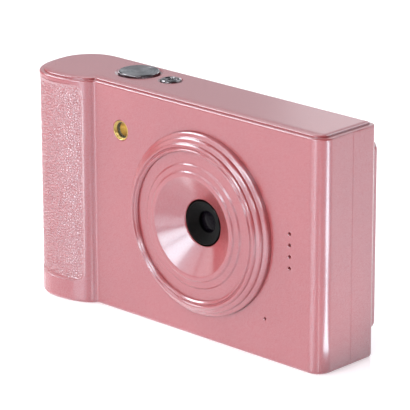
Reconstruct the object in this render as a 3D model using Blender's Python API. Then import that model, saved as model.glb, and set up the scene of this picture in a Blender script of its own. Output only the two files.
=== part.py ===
"""Compact digital camera, built as separate pieces.

Frame: +X to the camera's left-hand side as seen from the front (right in a front view), -Y out of the lens,
+Z up. The origin is under the middle of the body, on the surface it stands on.
All sizes below are millimetres; finished meshes are scaled to metres.
"""
import math

import bmesh
import bpy
from mathutils import Matrix, Vector

MM = 0.001
GAP = 0.3                       # clearance between pieces that sit against each other

# Body
WIDTH = 108.5
HEIGHT = 66.0
BODY_DEPTH = 22.15              # front face to rear face
GRIP_RISE = 4.7                 # grip crest in front of the front face
PLATEAU_RISE = 2.05             # display housing behind the rear face
FRONT = GRIP_RISE - (GRIP_RISE + BODY_DEPTH + PLATEAU_RISE) / 2
REAR = FRONT + BODY_DEPTH
BACK = REAR + PLATEAU_RISE
LEFT = -WIDTH / 2
RIGHT = WIDTH / 2
SEAM = FRONT + 12.35            # front and rear shells meet here
WALL = 1.8
EDGE = 1.0                      # radius along the bottom edge
CORNER_FRONT = 4.5
CORNER_REAR = 2.0
MIN_CORNER = 0.3

# Grip outline: a superellipse round the end, then an ellipse down to the front face
GRIP_HALF = 12.1
GRIP_X = LEFT + GRIP_HALF
GRIP_Y = FRONT + 10.4
GRIP_POWER = 2.2
FLANK_LONG = 12.8
FLANK_SHORT = 6.0
FLANK_Y = FRONT - GRIP_RISE + FLANK_SHORT

# Top rim and top cover
RIM_Z = 65.3
RIM_BEVEL = 0.35
RIM = 1.3
COVER_EDGE = RIM + GAP
COVER_BOTTOM = 63.5
LEDGE_Z = COVER_BOTTOM - GAP

# Textured grip pad
PAD_OUTER = 0.25
PAD_INNER = 0.7
PAD_POCKET = PAD_INNER + GAP
PAD_LOW = 6.3
PAD_HIGH = 64.0
PAD_END = math.radians(37)      # angle on the flank ellipse where the pad stops

# Lens
LENS_X = 11.03
LENS_Z = 33.0
RING_SEAT_R = 26.0
LENS_HOLE_R = 20.0
BARREL_R = 6.2

# Flash, speaker and microphone
FLASH_X, FLASH_Z = -19.7, 53.0
FLASH_HOLE_R = 2.8
SPEAKER_X, SPEAKER_Z = 43.15, 32.75
SPEAKER_PITCH = 3.2
SPEAKER_HOLES = 4
MIC_X, MIC_Z = 34.55, 11.6

# Top controls
SHUTTER_X, SHUTTER_DEPTH = -25.05, 13.0
SHUTTER_R = 5.8
SHUTTER_TRAVEL = 0.6
POWER_X, POWER_DEPTH = -13.05, 13.2
POWER_R = 2.9
DISH_DROP = 0.5

# Display housing on the rear
PLATEAU = (-20.4, 52.95, 6.5, 60.5)         # x low, x high, z low, z high
WINDOW = (-17.6, 49.7, 9.0, 58.0)
PANEL = (-15.5, 47.6, 11.0, 56.0)
WINDOW_DEPTH = 1.0
WINDOW_DROP = 0.15              # window's face below the housing's

# Rear keys
PAD_X, PAD_Z = -33.5, 27.0
OK_R = 4.1
ARROW_IN, ARROW_OUT = 4.6, 10.0
KEY_R = 2.7
KEY_FLANGE = 0.9
KEY_PROUD = 0.9
KEYS = {
    "zoom_out_button": (-38.5, 55.0),
    "zoom_in_button": (-28.5, 55.0),
    "mode_button": (-38.5, 43.5),
    "playback_button": (-28.5, 43.5),
    "menu_button": (-38.5, 10.8),
    "delete_button": (-28.5, 10.8),
}
ARROWS = {"right_button": 0, "up_button": 90, "left_button": 180, "down_button": 270}

# Bottom: battery door, memory card, tripod bush and USB socket
HINGE_DEPTH, HINGE_Z = 3.7, 1.65
KNUCKLE_R = 1.5
PIN_R = 0.6
DOOR = (-49.0, -14.9)
DOOR_DEPTH = 11.1
CARD_X, CARD_DEPTH = -1.95, 5.0
CARD = (11.0, 0.9, 15.0)
TRIPOD_X, TRIPOD_DEPTH = 11.03, 8.0
USB_X, USB_DEPTH = 28.5, 6.5

# Case screws: x, z and the depth at which the front shell's boss begins
CASE_SCREWS = {
    "case_screw_1": (44.5, 3.9, 0.9),
    "case_screw_2": (-11.65, 3.9, 0.9),
    "case_screw_3": (-45.5, 58.0, -2.9),
}
BOSS_R = 2.2
SCREW_R = 0.85
HEAD_R = 1.6

PINK = (0.66, 0.27, 0.30)
BLACK = (0.012, 0.012, 0.013)
BOARD = (0.02, 0.16, 0.07)
STEEL = (0.62, 0.62, 0.64)


# ---------------------------------------------------------------- helpers

def behind(depth):
    """Y of a plane that lies depth millimetres behind the front face."""
    return FRONT + depth


def material(name, colour, roughness=0.4, metallic=0.0, alpha=1.0):
    found = bpy.data.materials.get(name)
    if found:
        return found
    made = bpy.data.materials.new(name)
    made.use_nodes = True
    shader = made.node_tree.nodes["Principled BSDF"]
    shader.inputs["Base Color"].default_value = (*colour, 1.0)
    shader.inputs["Roughness"].default_value = roughness
    shader.inputs["Metallic"].default_value = metallic
    shader.inputs["Alpha"].default_value = alpha
    return made


def make(name, mesh, finish, origin=(0.0, 0.0, 0.0)):
    """Turn a bmesh in millimetres into an object in metres whose origin is at the given point."""
    bmesh.ops.recalc_face_normals(mesh, faces=mesh.faces)
    mesh.transform(Matrix.Scale(MM, 4) @ Matrix.Translation(-Vector(origin)))
    data = bpy.data.meshes.new(name)
    mesh.to_mesh(data)
    mesh.free()
    data.materials.append(finish)
    data.shade_smooth()
    data.set_sharp_from_angle(angle=math.radians(35))
    made = bpy.data.objects.new(name, data)
    made.location = Vector(origin) * MM
    bpy.context.collection.objects.link(made)
    return made


def tool(name, mesh):
    """A cutter or an added volume: used by Boolean modifiers and left out of the object itself."""
    made = make(name, mesh, material("tool", (0.5, 0.5, 0.5)))
    made.hide_render = True
    made.display_type = "WIRE"
    return made


def combine(target, operation, other):
    """Boolean with another object, whose own volumes never overlap each other."""
    step = target.modifiers.new(operation.lower() + "_" + other.name, "BOOLEAN")
    step.operation = operation
    step.solver = "EXACT"
    step.object = other


def stack(loops, mesh=None, closed=False):
    """Join loops that have the same number of points, and cap the two ends unless the stack is closed."""
    mesh = mesh or bmesh.new()
    rows = [[mesh.verts.new(point) for point in loop] for loop in loops]
    count = len(rows[0])
    pairs = list(zip(rows, rows[1:]))
    if closed:
        pairs.append((rows[-1], rows[0]))
    for low, high in pairs:
        for i in range(count):
            j = (i + 1) % count
            mesh.faces.new((low[i], low[j], high[j], high[i]))
    if not closed:
        mesh.faces.new(rows[0][::-1])
        mesh.faces.new(rows[-1])
    return mesh


def box(low, high, mesh=None):
    corners = [(0, 0), (1, 0), (1, 1), (0, 1)]
    span = (low, high)
    loops = [[(span[i][0], span[j][1], span[k][2]) for i, j in corners] for k in (0, 1)]
    return stack(loops, mesh)


def turned(profile, centre, axis="Y", sides=48, mesh=None):
    """Turn a profile of (radius, distance along the axis) about an axis through centre.

    A profile that begins and ends on the axis gives a solid; any other is closed into a ring.
    """
    mesh = mesh or bmesh.new()
    solid = profile[0][0] == 0 and profile[-1][0] == 0
    steps = [2 * math.pi * k / sides for k in range(sides)]

    def place(radius, along, angle):
        u, v = radius * math.cos(angle), radius * math.sin(angle)
        if axis == "Y":
            return (centre[0] + u, along, centre[1] + v)
        if axis == "X":
            return (along, centre[0] + u, centre[1] + v)
        return (centre[0] + u, centre[1] + v, along)

    if not solid:
        return stack([[place(r, a, t) for t in steps] for r, a in profile], mesh, closed=True)
    start = mesh.verts.new(place(*profile[0], 0))
    end = mesh.verts.new(place(*profile[-1], 0))
    rows = [[mesh.verts.new(place(r, a, t)) for t in steps] for r, a in profile[1:-1]]
    for k in range(sides):
        j = (k + 1) % sides
        mesh.faces.new((start, rows[0][j], rows[0][k]))
        mesh.faces.new((end, rows[-1][k], rows[-1][j]))
        for low, high in zip(rows, rows[1:]):
            mesh.faces.new((low[k], low[j], high[j], high[k]))
    return mesh


def rod(radius, start, end, centre, axis="Y", sides=24, mesh=None):
    return turned([(0, start), (radius, start), (radius, end), (0, end)], centre, axis, sides, mesh)


def rounded_rectangle(x0, x1, z0, z1, radius, inset=0.0, steps=4):
    """Points (x, z) of a rounded rectangle, moved in by inset."""
    radius = max(radius - inset, MIN_CORNER)
    x0, x1, z0, z1 = x0 + inset, x1 - inset, z0 + inset, z1 - inset
    centres = [(x1 - radius, z0 + radius), (x1 - radius, z1 - radius),
               (x0 + radius, z1 - radius), (x0 + radius, z0 + radius)]
    points = []
    for quarter, (cx, cz) in enumerate(centres):
        for k in range(steps + 1):
            angle = math.radians(-90 + 90 * quarter + 90 * k / steps)
            points.append((cx + radius * math.cos(angle), cz + radius * math.sin(angle)))
    return points


def slab(frame, radius, levels, mesh=None, steps=4):
    """A rounded rectangle in X and Z, stacked along Y; levels are (y, inset)."""
    loops = [[(x, y, z) for x, z in rounded_rectangle(*frame, radius, inset, steps)] for y, inset in levels]
    return stack(loops, mesh)


# ---------------------------------------------------------------- body outline

def round_end(angle, inset):
    """Point on the grip's round end; angle runs from the far left (0) to the crest (90 degrees)."""
    x = GRIP_X - (GRIP_HALF - inset) * math.cos(angle) ** (2 / GRIP_POWER)
    reach = GRIP_Y - FRONT + GRIP_RISE - inset
    return x, GRIP_Y - reach * math.sin(angle) ** (2 / GRIP_POWER)


def flank(angle, inset):
    """Point on the grip's inner flank; angle runs from the crest (90 degrees) down."""
    return GRIP_X + (FLANK_LONG - inset) * math.cos(angle), FLANK_Y - (FLANK_SHORT - inset) * math.sin(angle)


def outline(front=0.0, side=None, rear=None):
    """Outline of the body seen from above, moved in by a wall; it always has the same number of points."""
    side = front if side is None else side
    rear = front if rear is None else rear
    inset = front
    points = []
    for k in range(9):
        angle = math.radians(90 * k / 9)
        x, y = round_end(angle, inset)
        blend = math.cos(angle)
        points.append((x + (side - front) * blend, y))
    short = FLANK_SHORT - inset
    end = math.asin(max(FLANK_Y - FRONT - inset, 0.0) / short)
    for k in range(8):
        points.append(flank(math.pi / 2 + (end - math.pi / 2) * k / 8, inset))
    points.append((flank(end, inset)[0], FRONT + inset))
    corners = [(CORNER_FRONT, max(front, side), -90, FRONT + front, 1),
               (CORNER_REAR, max(side, rear), 0, REAR - rear, -1)]
    for radius, wall, begin, face, inward in corners:
        radius = max(radius - wall, MIN_CORNER)
        cx, cy = RIGHT - side - radius, face + inward * radius
        for k in range(6):
            angle = math.radians(begin + 90 * k / 5)
            points.append((cx + radius * math.cos(angle), cy + radius * math.sin(angle)))
    for k in range(9):
        angle = math.radians(90 + 90 * k / 9)
        x = GRIP_X + (GRIP_HALF - side) * math.cos(angle)
        points.append((x, GRIP_Y + (REAR - rear - GRIP_Y) * math.sin(angle)))
    return points


def level(z, *insets):
    return [(x, y, z) for x, y in outline(*insets)]


def body_volume():
    """The whole outer body below the top cover, with a rounded bottom edge and a bevelled rim."""
    loops = []
    for k in range(4):
        angle = math.radians(90 * k / 3)
        loops.append(level(EDGE * (1 - math.cos(angle)), EDGE * (1 - math.sin(angle))))
    loops.append(level(RIM_Z - RIM_BEVEL, 0.0))
    loops.append(level(RIM_Z, RIM_BEVEL))
    return stack(loops)


def cavity_volume():
    """The room inside the shells, with the ledge that the top cover rests on."""
    return stack([level(WALL, WALL), level(LEDGE_Z, WALL), level(LEDGE_Z, RIM), level(HEIGHT + 1, RIM)])


# ---------------------------------------------------------------- shells

def grip_band(inner, outer, spare):
    """The pad's crescent seen from above, between two insets, longer by spare at the flank end."""
    path = [("round", math.radians(90 * k / 10)) for k in range(10)]
    path += [("flank", math.pi / 2 + (PAD_END - spare - math.pi / 2) * k / 8) for k in range(9)]
    place = {"round": round_end, "flank": flank}
    there = [place[kind](angle, outer) for kind, angle in path]
    back = [place[kind](angle, inner) for kind, angle in reversed(path)]
    return there + back


def grip_prism(inner, outer, low, high, spare=0.0):
    band = grip_band(inner, outer, spare)
    return stack([[(x, y, z) for x, y in band] for z in (low, high)])


def front_bosses():
    mesh = bmesh.new()
    for x, z, start in CASE_SCREWS.values():
        rod(BOSS_R, behind(start), SEAM - GAP, (x, z), sides=12, mesh=mesh)
    return mesh


def rear_bosses():
    mesh = bmesh.new()
    for x, z, _ in CASE_SCREWS.values():
        rod(BOSS_R, SEAM + GAP, REAR - WALL / 2, (x, z), sides=12, mesh=mesh)
    return mesh


def screw_holes(mesh):
    """Clearance holes for the case screws, each wider at the rear for the screw's head."""
    narrow, wide = SCREW_R + GAP, HEAD_R + GAP
    step = REAR - 2.2
    for x, z, _ in CASE_SCREWS.values():
        profile = [(0, behind(6)), (narrow, behind(6)), (narrow, step), (wide, step), (wide, REAR + 1),
                   (0, REAR + 1)]
        turned(profile, (x, z), sides=12, mesh=mesh)


def front_shell(pink):
    shell = make("front_shell", body_volume(), pink)
    combine(shell, "DIFFERENCE", tool("front_cavity", cavity_volume()))
    combine(shell, "DIFFERENCE", tool("rear_half", box((-70, SEAM - GAP / 2, -5), (70, 40, 75))))

    combine(shell, "UNION", tool("front_bosses", front_bosses()))
    ears = bmesh.new()
    low_z, high_z = WALL / 2, HINGE_Z + 1.7
    for x0, x1 in ((DOOR[0] - 2.4, DOOR[0] - GAP), (DOOR[1] + GAP, DOOR[1] + 2.4)):
        box((x0, behind(HINGE_DEPTH - 1.6), low_z), (x1, behind(HINGE_DEPTH + 1.6), high_z), ears)
    combine(shell, "UNION", tool("hinge_ears", ears))

    cuts = turned([(0, behind(-3)), (RING_SEAT_R, behind(-3)), (RING_SEAT_R, behind(0.5)),
                   (LENS_HOLE_R, behind(0.5)), (LENS_HOLE_R, behind(3)), (0, behind(3))],
                  (LENS_X, LENS_Z), sides=64)
    rod(FLASH_HOLE_R, behind(-1), behind(3), (FLASH_X, FLASH_Z), sides=32, mesh=cuts)
    for k in range(SPEAKER_HOLES):
        z = SPEAKER_Z + SPEAKER_PITCH * (k - (SPEAKER_HOLES - 1) / 2)
        rod(0.45, behind(-1), behind(3), (SPEAKER_X, z), sides=8, mesh=cuts)
    rod(0.35, behind(-1), behind(3), (MIC_X, MIC_Z), sides=8, mesh=cuts)
    opening = HINGE_DEPTH - KNUCKLE_R - GAP
    box((DOOR[0] - GAP, behind(opening), -1), (DOOR[1] + GAP, behind(DOOR_DEPTH + GAP), WALL + 1), cuts)
    half_wide, half_thick = CARD[0] / 2 + GAP, CARD[1] / 2 + GAP
    box((CARD_X - half_wide, behind(CARD_DEPTH - half_thick), -1),
        (CARD_X + half_wide, behind(CARD_DEPTH + half_thick), WALL + 1), cuts)
    rod(4.1, -1, WALL + 1, (TRIPOD_X, behind(TRIPOD_DEPTH)), "Z", 32, cuts)
    usb = [(x, y) for x, y in rounded_rectangle(-4.8, 4.8, -1.95, 1.95, 1.9)]
    stack([[(USB_X + x, behind(USB_DEPTH) + y, z) for x, y in usb] for z in (-1, WALL + 1)], cuts)
    combine(shell, "DIFFERENCE", tool("front_openings", cuts))
    holes = rod(PIN_R + GAP, DOOR[0] - 2.0, DOOR[1] + 2.0, (behind(HINGE_DEPTH), HINGE_Z), "X", 12)
    screw_holes(holes)
    combine(shell, "DIFFERENCE", tool("pin_and_screw_holes", holes))
    pocket = grip_prism(PAD_POCKET, -1.5, PAD_LOW - GAP, PAD_HIGH + GAP, spare=0.025)
    combine(shell, "DIFFERENCE", tool("grip_pocket", pocket))


def rear_shell(pink):
    shell = make("rear_shell", body_volume(), pink)
    levels = [(REAR - 0.5, 0), (BACK - 1.0, 0), (BACK - 0.3, 0.3), (BACK, 1.0)]
    combine(shell, "UNION", tool("plateau", slab(PLATEAU, 3.0, levels)))
    combine(shell, "DIFFERENCE", tool("rear_cavity", cavity_volume()))
    combine(shell, "DIFFERENCE", tool("front_half", box((-70, -40, -5), (70, SEAM + GAP / 2, 75))))
    combine(shell, "UNION", tool("rear_bosses", rear_bosses()))

    recess = slab(WINDOW, 1.5, [(BACK - WINDOW_DROP - WINDOW_DEPTH - GAP, -GAP), (BACK + 1, -GAP)])
    combine(shell, "DIFFERENCE", tool("window_recess", recess))
    cuts = slab(PANEL, 0.5, [(REAR - WALL - 1, -GAP), (BACK - 1, -GAP)])
    rod(ARROW_OUT + GAP, REAR - WALL - 1, REAR + 1, (PAD_X, PAD_Z), sides=48, mesh=cuts)
    for x, z in KEYS.values():
        rod(KEY_R + GAP, REAR - WALL - 1, REAR + 1, (x, z), sides=24, mesh=cuts)
    screw_holes(cuts)
    combine(shell, "DIFFERENCE", tool("rear_openings", cuts))


def top_cover(pink):
    loops = [level(COVER_BOTTOM, COVER_EDGE), level(RIM_Z, COVER_EDGE), level(RIM_Z + 0.35, 2.2, 2.0, 1.8),
             level(RIM_Z + 0.6, 3.1, 2.4, 1.95), level(HEIGHT, 4.2, 2.9, 2.1)]
    cover = make("top_cover", stack(loops), pink)
    cuts = bmesh.new()
    wells = ((SHUTTER_X, SHUTTER_DEPTH, SHUTTER_R, 1.1, 48), (POWER_X, POWER_DEPTH, POWER_R, 0.8, 32))
    for x, depth, radius, dish, sides in wells:
        hole = radius + GAP
        profile = [(0, COVER_BOTTOM - 1), (hole, COVER_BOTTOM - 1), (hole, HEIGHT - DISH_DROP),
                   (radius + dish, HEIGHT), (radius + dish, HEIGHT + 1), (0, HEIGHT + 1)]
        turned(profile, (x, behind(depth)), "Z", sides, cuts)
    combine(cover, "DIFFERENCE", tool("button_wells", cuts))


# ---------------------------------------------------------------- lens

def lens_parts(pink, black, glass):
    centre = (LENS_X, LENS_Z)
    ring = [(25.7, 0.2), (25.7, -1.35), (25.45, -1.6), (24.4, -1.6), (24.4, -2.65), (24.15, -2.9),
            (23.1, -2.9), (23.0, -3.8), (22.8, -4.0), (22.2, -4.0), (22.0, -3.6), (21.8, -3.6),
            (21.6, -4.0), (21.1, -4.0), (20.7, -3.6), (20.7, 0.2)]
    make("lens_ring", turned([(r, behind(d)) for r, d in ring], centre, sides=60), pink)
    cone = [(20.4, -3.0), (17.2, -3.0), (17.0, -3.35), (15.2, -3.35), (15.0, -3.75), (13.9, -3.75),
            (13.5, -3.5), (6.7, 0.6), (6.57, 0.9), (7.4, 0.9), (13.4, -2.3), (20.4, -2.0)]
    make("lens_cone", turned([(r, behind(d)) for r, d in cone], centre, sides=60), pink)
    barrel = [(BARREL_R, 0.7), (BARREL_R, 9.5), (5.0, 9.5), (5.0, 6.1), (3.0, 6.1), (3.0, 5.2),
              (3.7, 5.2), (3.7, 2.6), (3.1, 2.6), (3.1, 2.3), (3.6, 2.3), (3.6, 1.9), (4.3, 1.9),
              (4.3, 1.5), (5.0, 1.5), (5.0, 1.1), (5.7, 1.1), (5.7, 0.7)]
    make("lens_barrel", turned([(r, behind(d)) for r, d in barrel], centre, sides=32), black)
    front = [(0, 2.9), (1.8, 3.05), (3.4, 3.6), (3.4, 4.4), (1.8, 4.75), (0, 4.85)]
    make("front_lens", turned([(r, behind(d)) for r, d in front], centre, sides=32), glass)
    back = [(0, 6.4), (2.4, 6.55), (4.7, 7.1), (4.7, 8.6), (0, 8.6)]
    make("rear_lens", turned([(r, behind(d)) for r, d in back], centre, sides=32), glass)

    x0, x1, z0, z1 = LENS_X - 7.5, LENS_X + 7.5, LENS_Z - 7.5, LENS_Z + 7.5
    holder = make("lens_holder", slab((x0, x1, z0, z1), 1.0, [(behind(5), 0), (behind(11.65), 0)]), black)
    bore = rod(BARREL_R + GAP, behind(4), behind(13), centre, sides=40)
    combine(holder, "DIFFERENCE", tool("holder_bore", bore))


def around_lens(half, near, far):
    return box((LENS_X - half, behind(near), LENS_Z - half), (LENS_X + half, behind(far), LENS_Z + half))


def sensor_parts(board, black):
    filter_glass = material("filter_glass", (0.35, 0.62, 0.66), 0.05, 0, 0.5)
    make("infrared_filter", around_lens(4.0, 9.9, 10.25), filter_glass)
    make("image_sensor", around_lens(3.6, 10.6, 11.6), black)
    make("sensor_board", around_lens(10.0, 11.95, 12.75), board)


# ---------------------------------------------------------------- flash, sound

def flash_parts(board):
    centre = (FLASH_X, FLASH_Z)
    clear = material("clear_window", (0.95, 0.9, 0.75), 0.05, 0.0, 0.35)
    gold = material("gold", (0.75, 0.52, 0.16), 0.2, 1.0)
    window = [(0, 0.55), (2.2, 0.55), (2.5, 0.7), (2.5, 1.1), (0, 1.1)]
    make("flash_window", turned([(r, behind(d)) for r, d in window], centre, sides=32), clear)
    bowl = [(2.5, 1.4), (2.5, 2.1), (3.4, 2.1), (3.4, 5.4), (1.1, 5.4), (1.1, 4.6), (1.7, 3.2), (2.1, 1.4)]
    make("flash_reflector", turned([(r, behind(d)) for r, d in bowl], centre, sides=24), gold)
    low, high = (FLASH_X - 0.7, behind(4.9), FLASH_Z - 0.7), (FLASH_X + 0.7, behind(5.9), FLASH_Z + 0.7)
    make("flash_led", box(low, high), material("led", (0.9, 0.75, 0.2), 0.3))
    low, high = (FLASH_X - 4, behind(6.2), FLASH_Z - 4), (FLASH_X + 4, behind(7.0), FLASH_Z + 4)
    make("flash_board", box(low, high), board)


def sound_parts(black, steel):
    speaker = [(0, 2.1), (5.6, 2.1), (6.0, 2.5), (6.0, 4.8), (4.0, 5.3), (0, 5.3)]
    make("speaker", turned([(r, behind(d)) for r, d in speaker], (SPEAKER_X, SPEAKER_Z), sides=20), black)
    make("microphone", rod(2.0, behind(2.1), behind(3.6), (MIC_X, MIC_Z)), steel)


# ---------------------------------------------------------------- top controls

def top_buttons(chrome, steel, board):
    """Each button is a knurled cap with a captive flange below the cover and a stem over its switch."""
    parts = (("shutter", SHUTTER_X, SHUTTER_DEPTH, SHUTTER_R, 66.6, 1.0),
             ("power", POWER_X, POWER_DEPTH, POWER_R, 66.4, 0.9))
    for name, x, depth, radius, top, collar in parts:
        y = behind(depth)
        flange_top = COVER_BOTTOM - GAP
        profile = [(0, 60.9), (1.2, 60.9), (1.2, flange_top - 0.8), (radius + collar, flange_top - 0.8),
                   (radius + collar, flange_top), (radius, flange_top), (radius, top - 0.35),
                   (radius - 0.3, top - 0.05), (0, top)]
        sides = 48 if name == "shutter" else 32
        make(name + "_button", turned(profile, (x, y), "Z", sides), chrome, (x, y, flange_top))
        switch = make(name + "_switch", box((x - 1.6, y - 1.6, 57.5), (x + 1.6, y + 1.6, 59.3)), steel)
        plunger = tool(name + "_plunger", rod(0.8, 59, 60.3, (x, y), "Z", 16))
        combine(switch, "UNION", plunger)
    shutter_spring(steel)
    y0, y1 = behind(SHUTTER_DEPTH - 4.2), behind(SHUTTER_DEPTH + 1.65)
    make("top_board", box((-31.0, y0, 56.2), (-9.5, y1, 57.2)), board)


def shutter_spring(steel):
    """Compression spring between the small top board and the shutter button's flange."""
    coil, wire, turns, low, high = 3.0, 0.25, 3, 57.85, 61.8
    sides, ring = 16, 6
    count = turns * sides
    loops = []
    for k in range(count + 1):
        angle = 2 * math.pi * k / sides
        z = low + (high - low) * k / count
        loop = []
        for m in range(ring):
            around = 2 * math.pi * m / ring
            radius = coil + wire * math.cos(around)
            x, y = SHUTTER_X + radius * math.cos(angle), behind(SHUTTER_DEPTH) + radius * math.sin(angle)
            loop.append((x, y, z + wire * math.sin(around)))
        loops.append(loop)
    make("shutter_spring", stack(loops), steel)


# ---------------------------------------------------------------- rear controls and display

def key_levels(radius, flange):
    """Radius and Y of a rear key: captive flange inside the wall, cap through it, rounded edge."""
    inside = REAR - WALL - GAP
    return [(radius + flange, inside - 0.9), (radius + flange, inside), (radius, inside),
            (radius, REAR + KEY_PROUD - 0.3), (radius - 0.3, REAR + KEY_PROUD)]


def rear_keys(grey):
    stem = REAR - WALL - GAP - 1.4
    for name, (x, z) in list(KEYS.items()) + [("ok_button", (PAD_X, PAD_Z))]:
        radius, flange = (OK_R, 0.0) if name == "ok_button" else (KEY_R, KEY_FLANGE)
        levels = key_levels(radius, flange)
        if not flange:
            levels = levels[2:]
            levels.insert(0, (radius, REAR - WALL - GAP - 0.9))
        first = levels[0][1]
        profile = [(0, stem), (1.0, stem), (1.0, first)] + levels + [(0, REAR + KEY_PROUD)]
        make(name, turned(profile, (x, z), sides=20), grey, (x, REAR, z))
    for name, middle in ARROWS.items():
        loops = []
        for reach, y in key_levels(ARROW_OUT, KEY_FLANGE):
            loops.append(arrow_sector(middle, ARROW_IN + max(0.0, ARROW_OUT - reach), reach, y))
        angle = math.radians(middle)
        radius = (ARROW_IN + ARROW_OUT) / 2
        centre = (PAD_X + radius * math.cos(angle), REAR, PAD_Z + radius * math.sin(angle))
        make(name, stack(loops), grey, centre)


def arrow_sector(middle, inner, outer, y):
    """A quarter of a ring with a narrow straight gap to the next quarter."""
    points = []
    steps = 8
    for radius, order in ((inner, range(steps + 1)), (outer, range(steps, -1, -1))):
        half = math.radians(45) - math.asin(0.3 / radius)
        for k in order:
            angle = math.radians(middle) - half + 2 * half * k / steps
            points.append((PAD_X + radius * math.cos(angle), y, PAD_Z + radius * math.sin(angle)))
    return points


def keypad_parts(board, rubber):
    frame = (-48.0, -22.4, 6.0, 54.5)
    membrane = make("keypad_membrane", slab(frame, 1.0, [(REAR - 5.1, 0), (REAR - 4.6, 0)], steps=1), rubber)
    domes = bmesh.new()
    places = list(KEYS.values()) + [(PAD_X, PAD_Z)]
    for middle in ARROWS.values():
        angle = math.radians(middle)
        places.append((PAD_X + 7.3 * math.cos(angle), PAD_Z + 7.3 * math.sin(angle)))
    for x, z in places:
        inner = min(z, frame[3] - 2)
        rod(1.6, REAR - 4.9, REAR - 4.3, (x, inner), sides=8, mesh=domes)
    combine(membrane, "UNION", tool("domes", domes))
    make("keypad_board", slab(frame, 1.0, [(REAR - 6.4, 0), (REAR - 5.4, 0)], steps=1), board)


def display_parts(black, steel):
    glass = material("display_glass", (0.01, 0.01, 0.012), 0.08)
    face = BACK - WINDOW_DROP
    levels = [(face - WINDOW_DEPTH, 0), (face - 0.2, 0), (face, 0.2)]
    make("display_window", slab(WINDOW, 1.5, levels), glass)
    window_back = face - WINDOW_DEPTH
    make("display_panel", slab(PANEL, 0.5, [(window_back - GAP - 3.2, 0), (window_back - GAP, 0)]),
         material("display", (0.03, 0.035, 0.05), 0.15))
    tray_front = window_back - GAP - 3.2 - GAP
    x0, x1, z0, z1 = PANEL
    outer = (x0 - 2.0, x1 + 2.0, z0 - 2.0, z1 + 2.0)
    tray = make("display_frame", slab(outer, 1.0, [(tray_front - 1.0, 0), (REAR - WALL - GAP, 0)]), steel)
    pocket = slab(PANEL, 0.5, [(tray_front, -GAP), (REAR, -GAP)])
    combine(tray, "DIFFERENCE", tool("tray_pocket", pocket))


# ---------------------------------------------------------------- boards, power, sockets

def main_electronics(board, black, steel):
    y = behind(14.0)
    make("main_board", box((-19.5, y, 6.6), (50.0, y + 1.0, 55.5)), board)
    make("processor", box((30.0, y - 1.5, 38.0), (42.0, y - GAP, 50.0)), black)
    make("memory_chip", box((30.0, y - 1.4, 22.0), (39.0, y - GAP, 32.0)), black)
    make("shield_can", box((-16.0, y - 2.4, 34.0), (-3.0, y - GAP, 52.0)), steel)


def battery_parts(black):
    label = material("battery_wrap", (0.05, 0.09, 0.2), 0.45)
    x0, x1 = -48.6, -15.6
    near, far, low, high = behind(3.4), behind(10.2), 4.2, 44.6
    levels = [(near, 0.5), (near + 0.5, 0), (far - 0.5, 0), (far, 0.5)]
    make("battery", slab((x0, x1, low, high), 1.0, levels), label)
    wall = 0.8
    around = GAP + wall
    outer = box((x0 - around, near - around, 3.5), (x1 + around, far + around, high + around))
    holder = make("battery_holder", outer, black)
    inner = box((x0 - GAP, near - GAP, 2.5), (x1 + GAP, far + GAP, high + GAP))
    combine(holder, "DIFFERENCE", tool("battery_room", inner))


def battery_door(pink, steel):
    """Door along the bottom, hinged on a pin at its front edge."""
    y0 = behind(HINGE_DEPTH)
    floor, ceiling = 0.15, HINGE_Z - 0.1
    section = [(behind(DOOR_DEPTH), floor)]
    for k in range(13):
        angle = math.radians(-90 - 270 * k / 12)
        section.append((y0 + KNUCKLE_R * math.cos(angle), HINGE_Z + KNUCKLE_R * math.sin(angle)))
    section += [(y0 + KNUCKLE_R, ceiling), (behind(DOOR_DEPTH), ceiling)]
    loops = [[(x, y, z) for y, z in section] for x in DOOR]
    door = make("battery_door", stack(loops), pink, (sum(DOOR) / 2, y0, HINGE_Z))
    hole = rod(PIN_R + GAP, DOOR[0] - 1, DOOR[1] + 1, (y0, HINGE_Z), "X", 12)
    combine(door, "DIFFERENCE", tool("door_hole", hole))
    make("hinge_pin", rod(PIN_R, DOOR[0] - 1.7, DOOR[1] + 1.7, (y0, HINGE_Z), "X", 12), steel)


def card_parts(black, steel):
    wide, thick, tall = CARD
    y = behind(CARD_DEPTH)
    low = 0.4
    card = box((CARD_X - wide / 2, y - thick / 2, low), (CARD_X + wide / 2, y + thick / 2, low + tall))
    make("memory_card", card, black, (CARD_X, y, low))
    outer = box((CARD_X - 6.9, y - 1.3, WALL + GAP), (CARD_X + 6.9, y + 1.3, low + tall + 1.5))
    socket = make("card_socket", outer, steel)
    half = wide / 2 + GAP
    slot = box((CARD_X - half, y - 0.75, 1.0), (CARD_X + half, y + 0.75, low + tall + GAP))
    combine(socket, "DIFFERENCE", tool("card_slot", slot))


def usb_socket(steel):
    y = behind(USB_DEPTH)

    def tube(half_x, half_y, radius, low, high):
        points = rounded_rectangle(-half_x, half_x, -half_y, half_y, radius)
        return stack([[(USB_X + px, y + py, z) for px, py in points] for z in (low, high)])

    socket = make("usb_socket", tube(4.47, 1.63, 1.5, 0.4, 8.0), steel)
    combine(socket, "DIFFERENCE", tool("usb_room", tube(4.15, 1.3, 1.25, -1, 6.5)))
    tongue = box((USB_X - 3.3, y - 0.35, 1.2), (USB_X + 3.3, y + 0.35, 7.0))
    combine(socket, "UNION", tool("usb_tongue", tongue))


def tripod_bush(steel):
    profile = [(3.8, 0.3), (3.8, 2.1), (4.9, 2.1), (4.9, 3.4), (3.8, 3.4), (3.8, 7.6), (0.0, 7.6)]
    centre = (TRIPOD_X, behind(TRIPOD_DEPTH))
    bush = make("tripod_bush", turned([(0.0, 0.3)] + profile, centre, "Z", 20), steel)
    thread = rod(2.7, -1, 6.6, (TRIPOD_X, behind(TRIPOD_DEPTH)), "Z", 20)
    combine(bush, "DIFFERENCE", tool("tripod_thread", thread))


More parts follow.
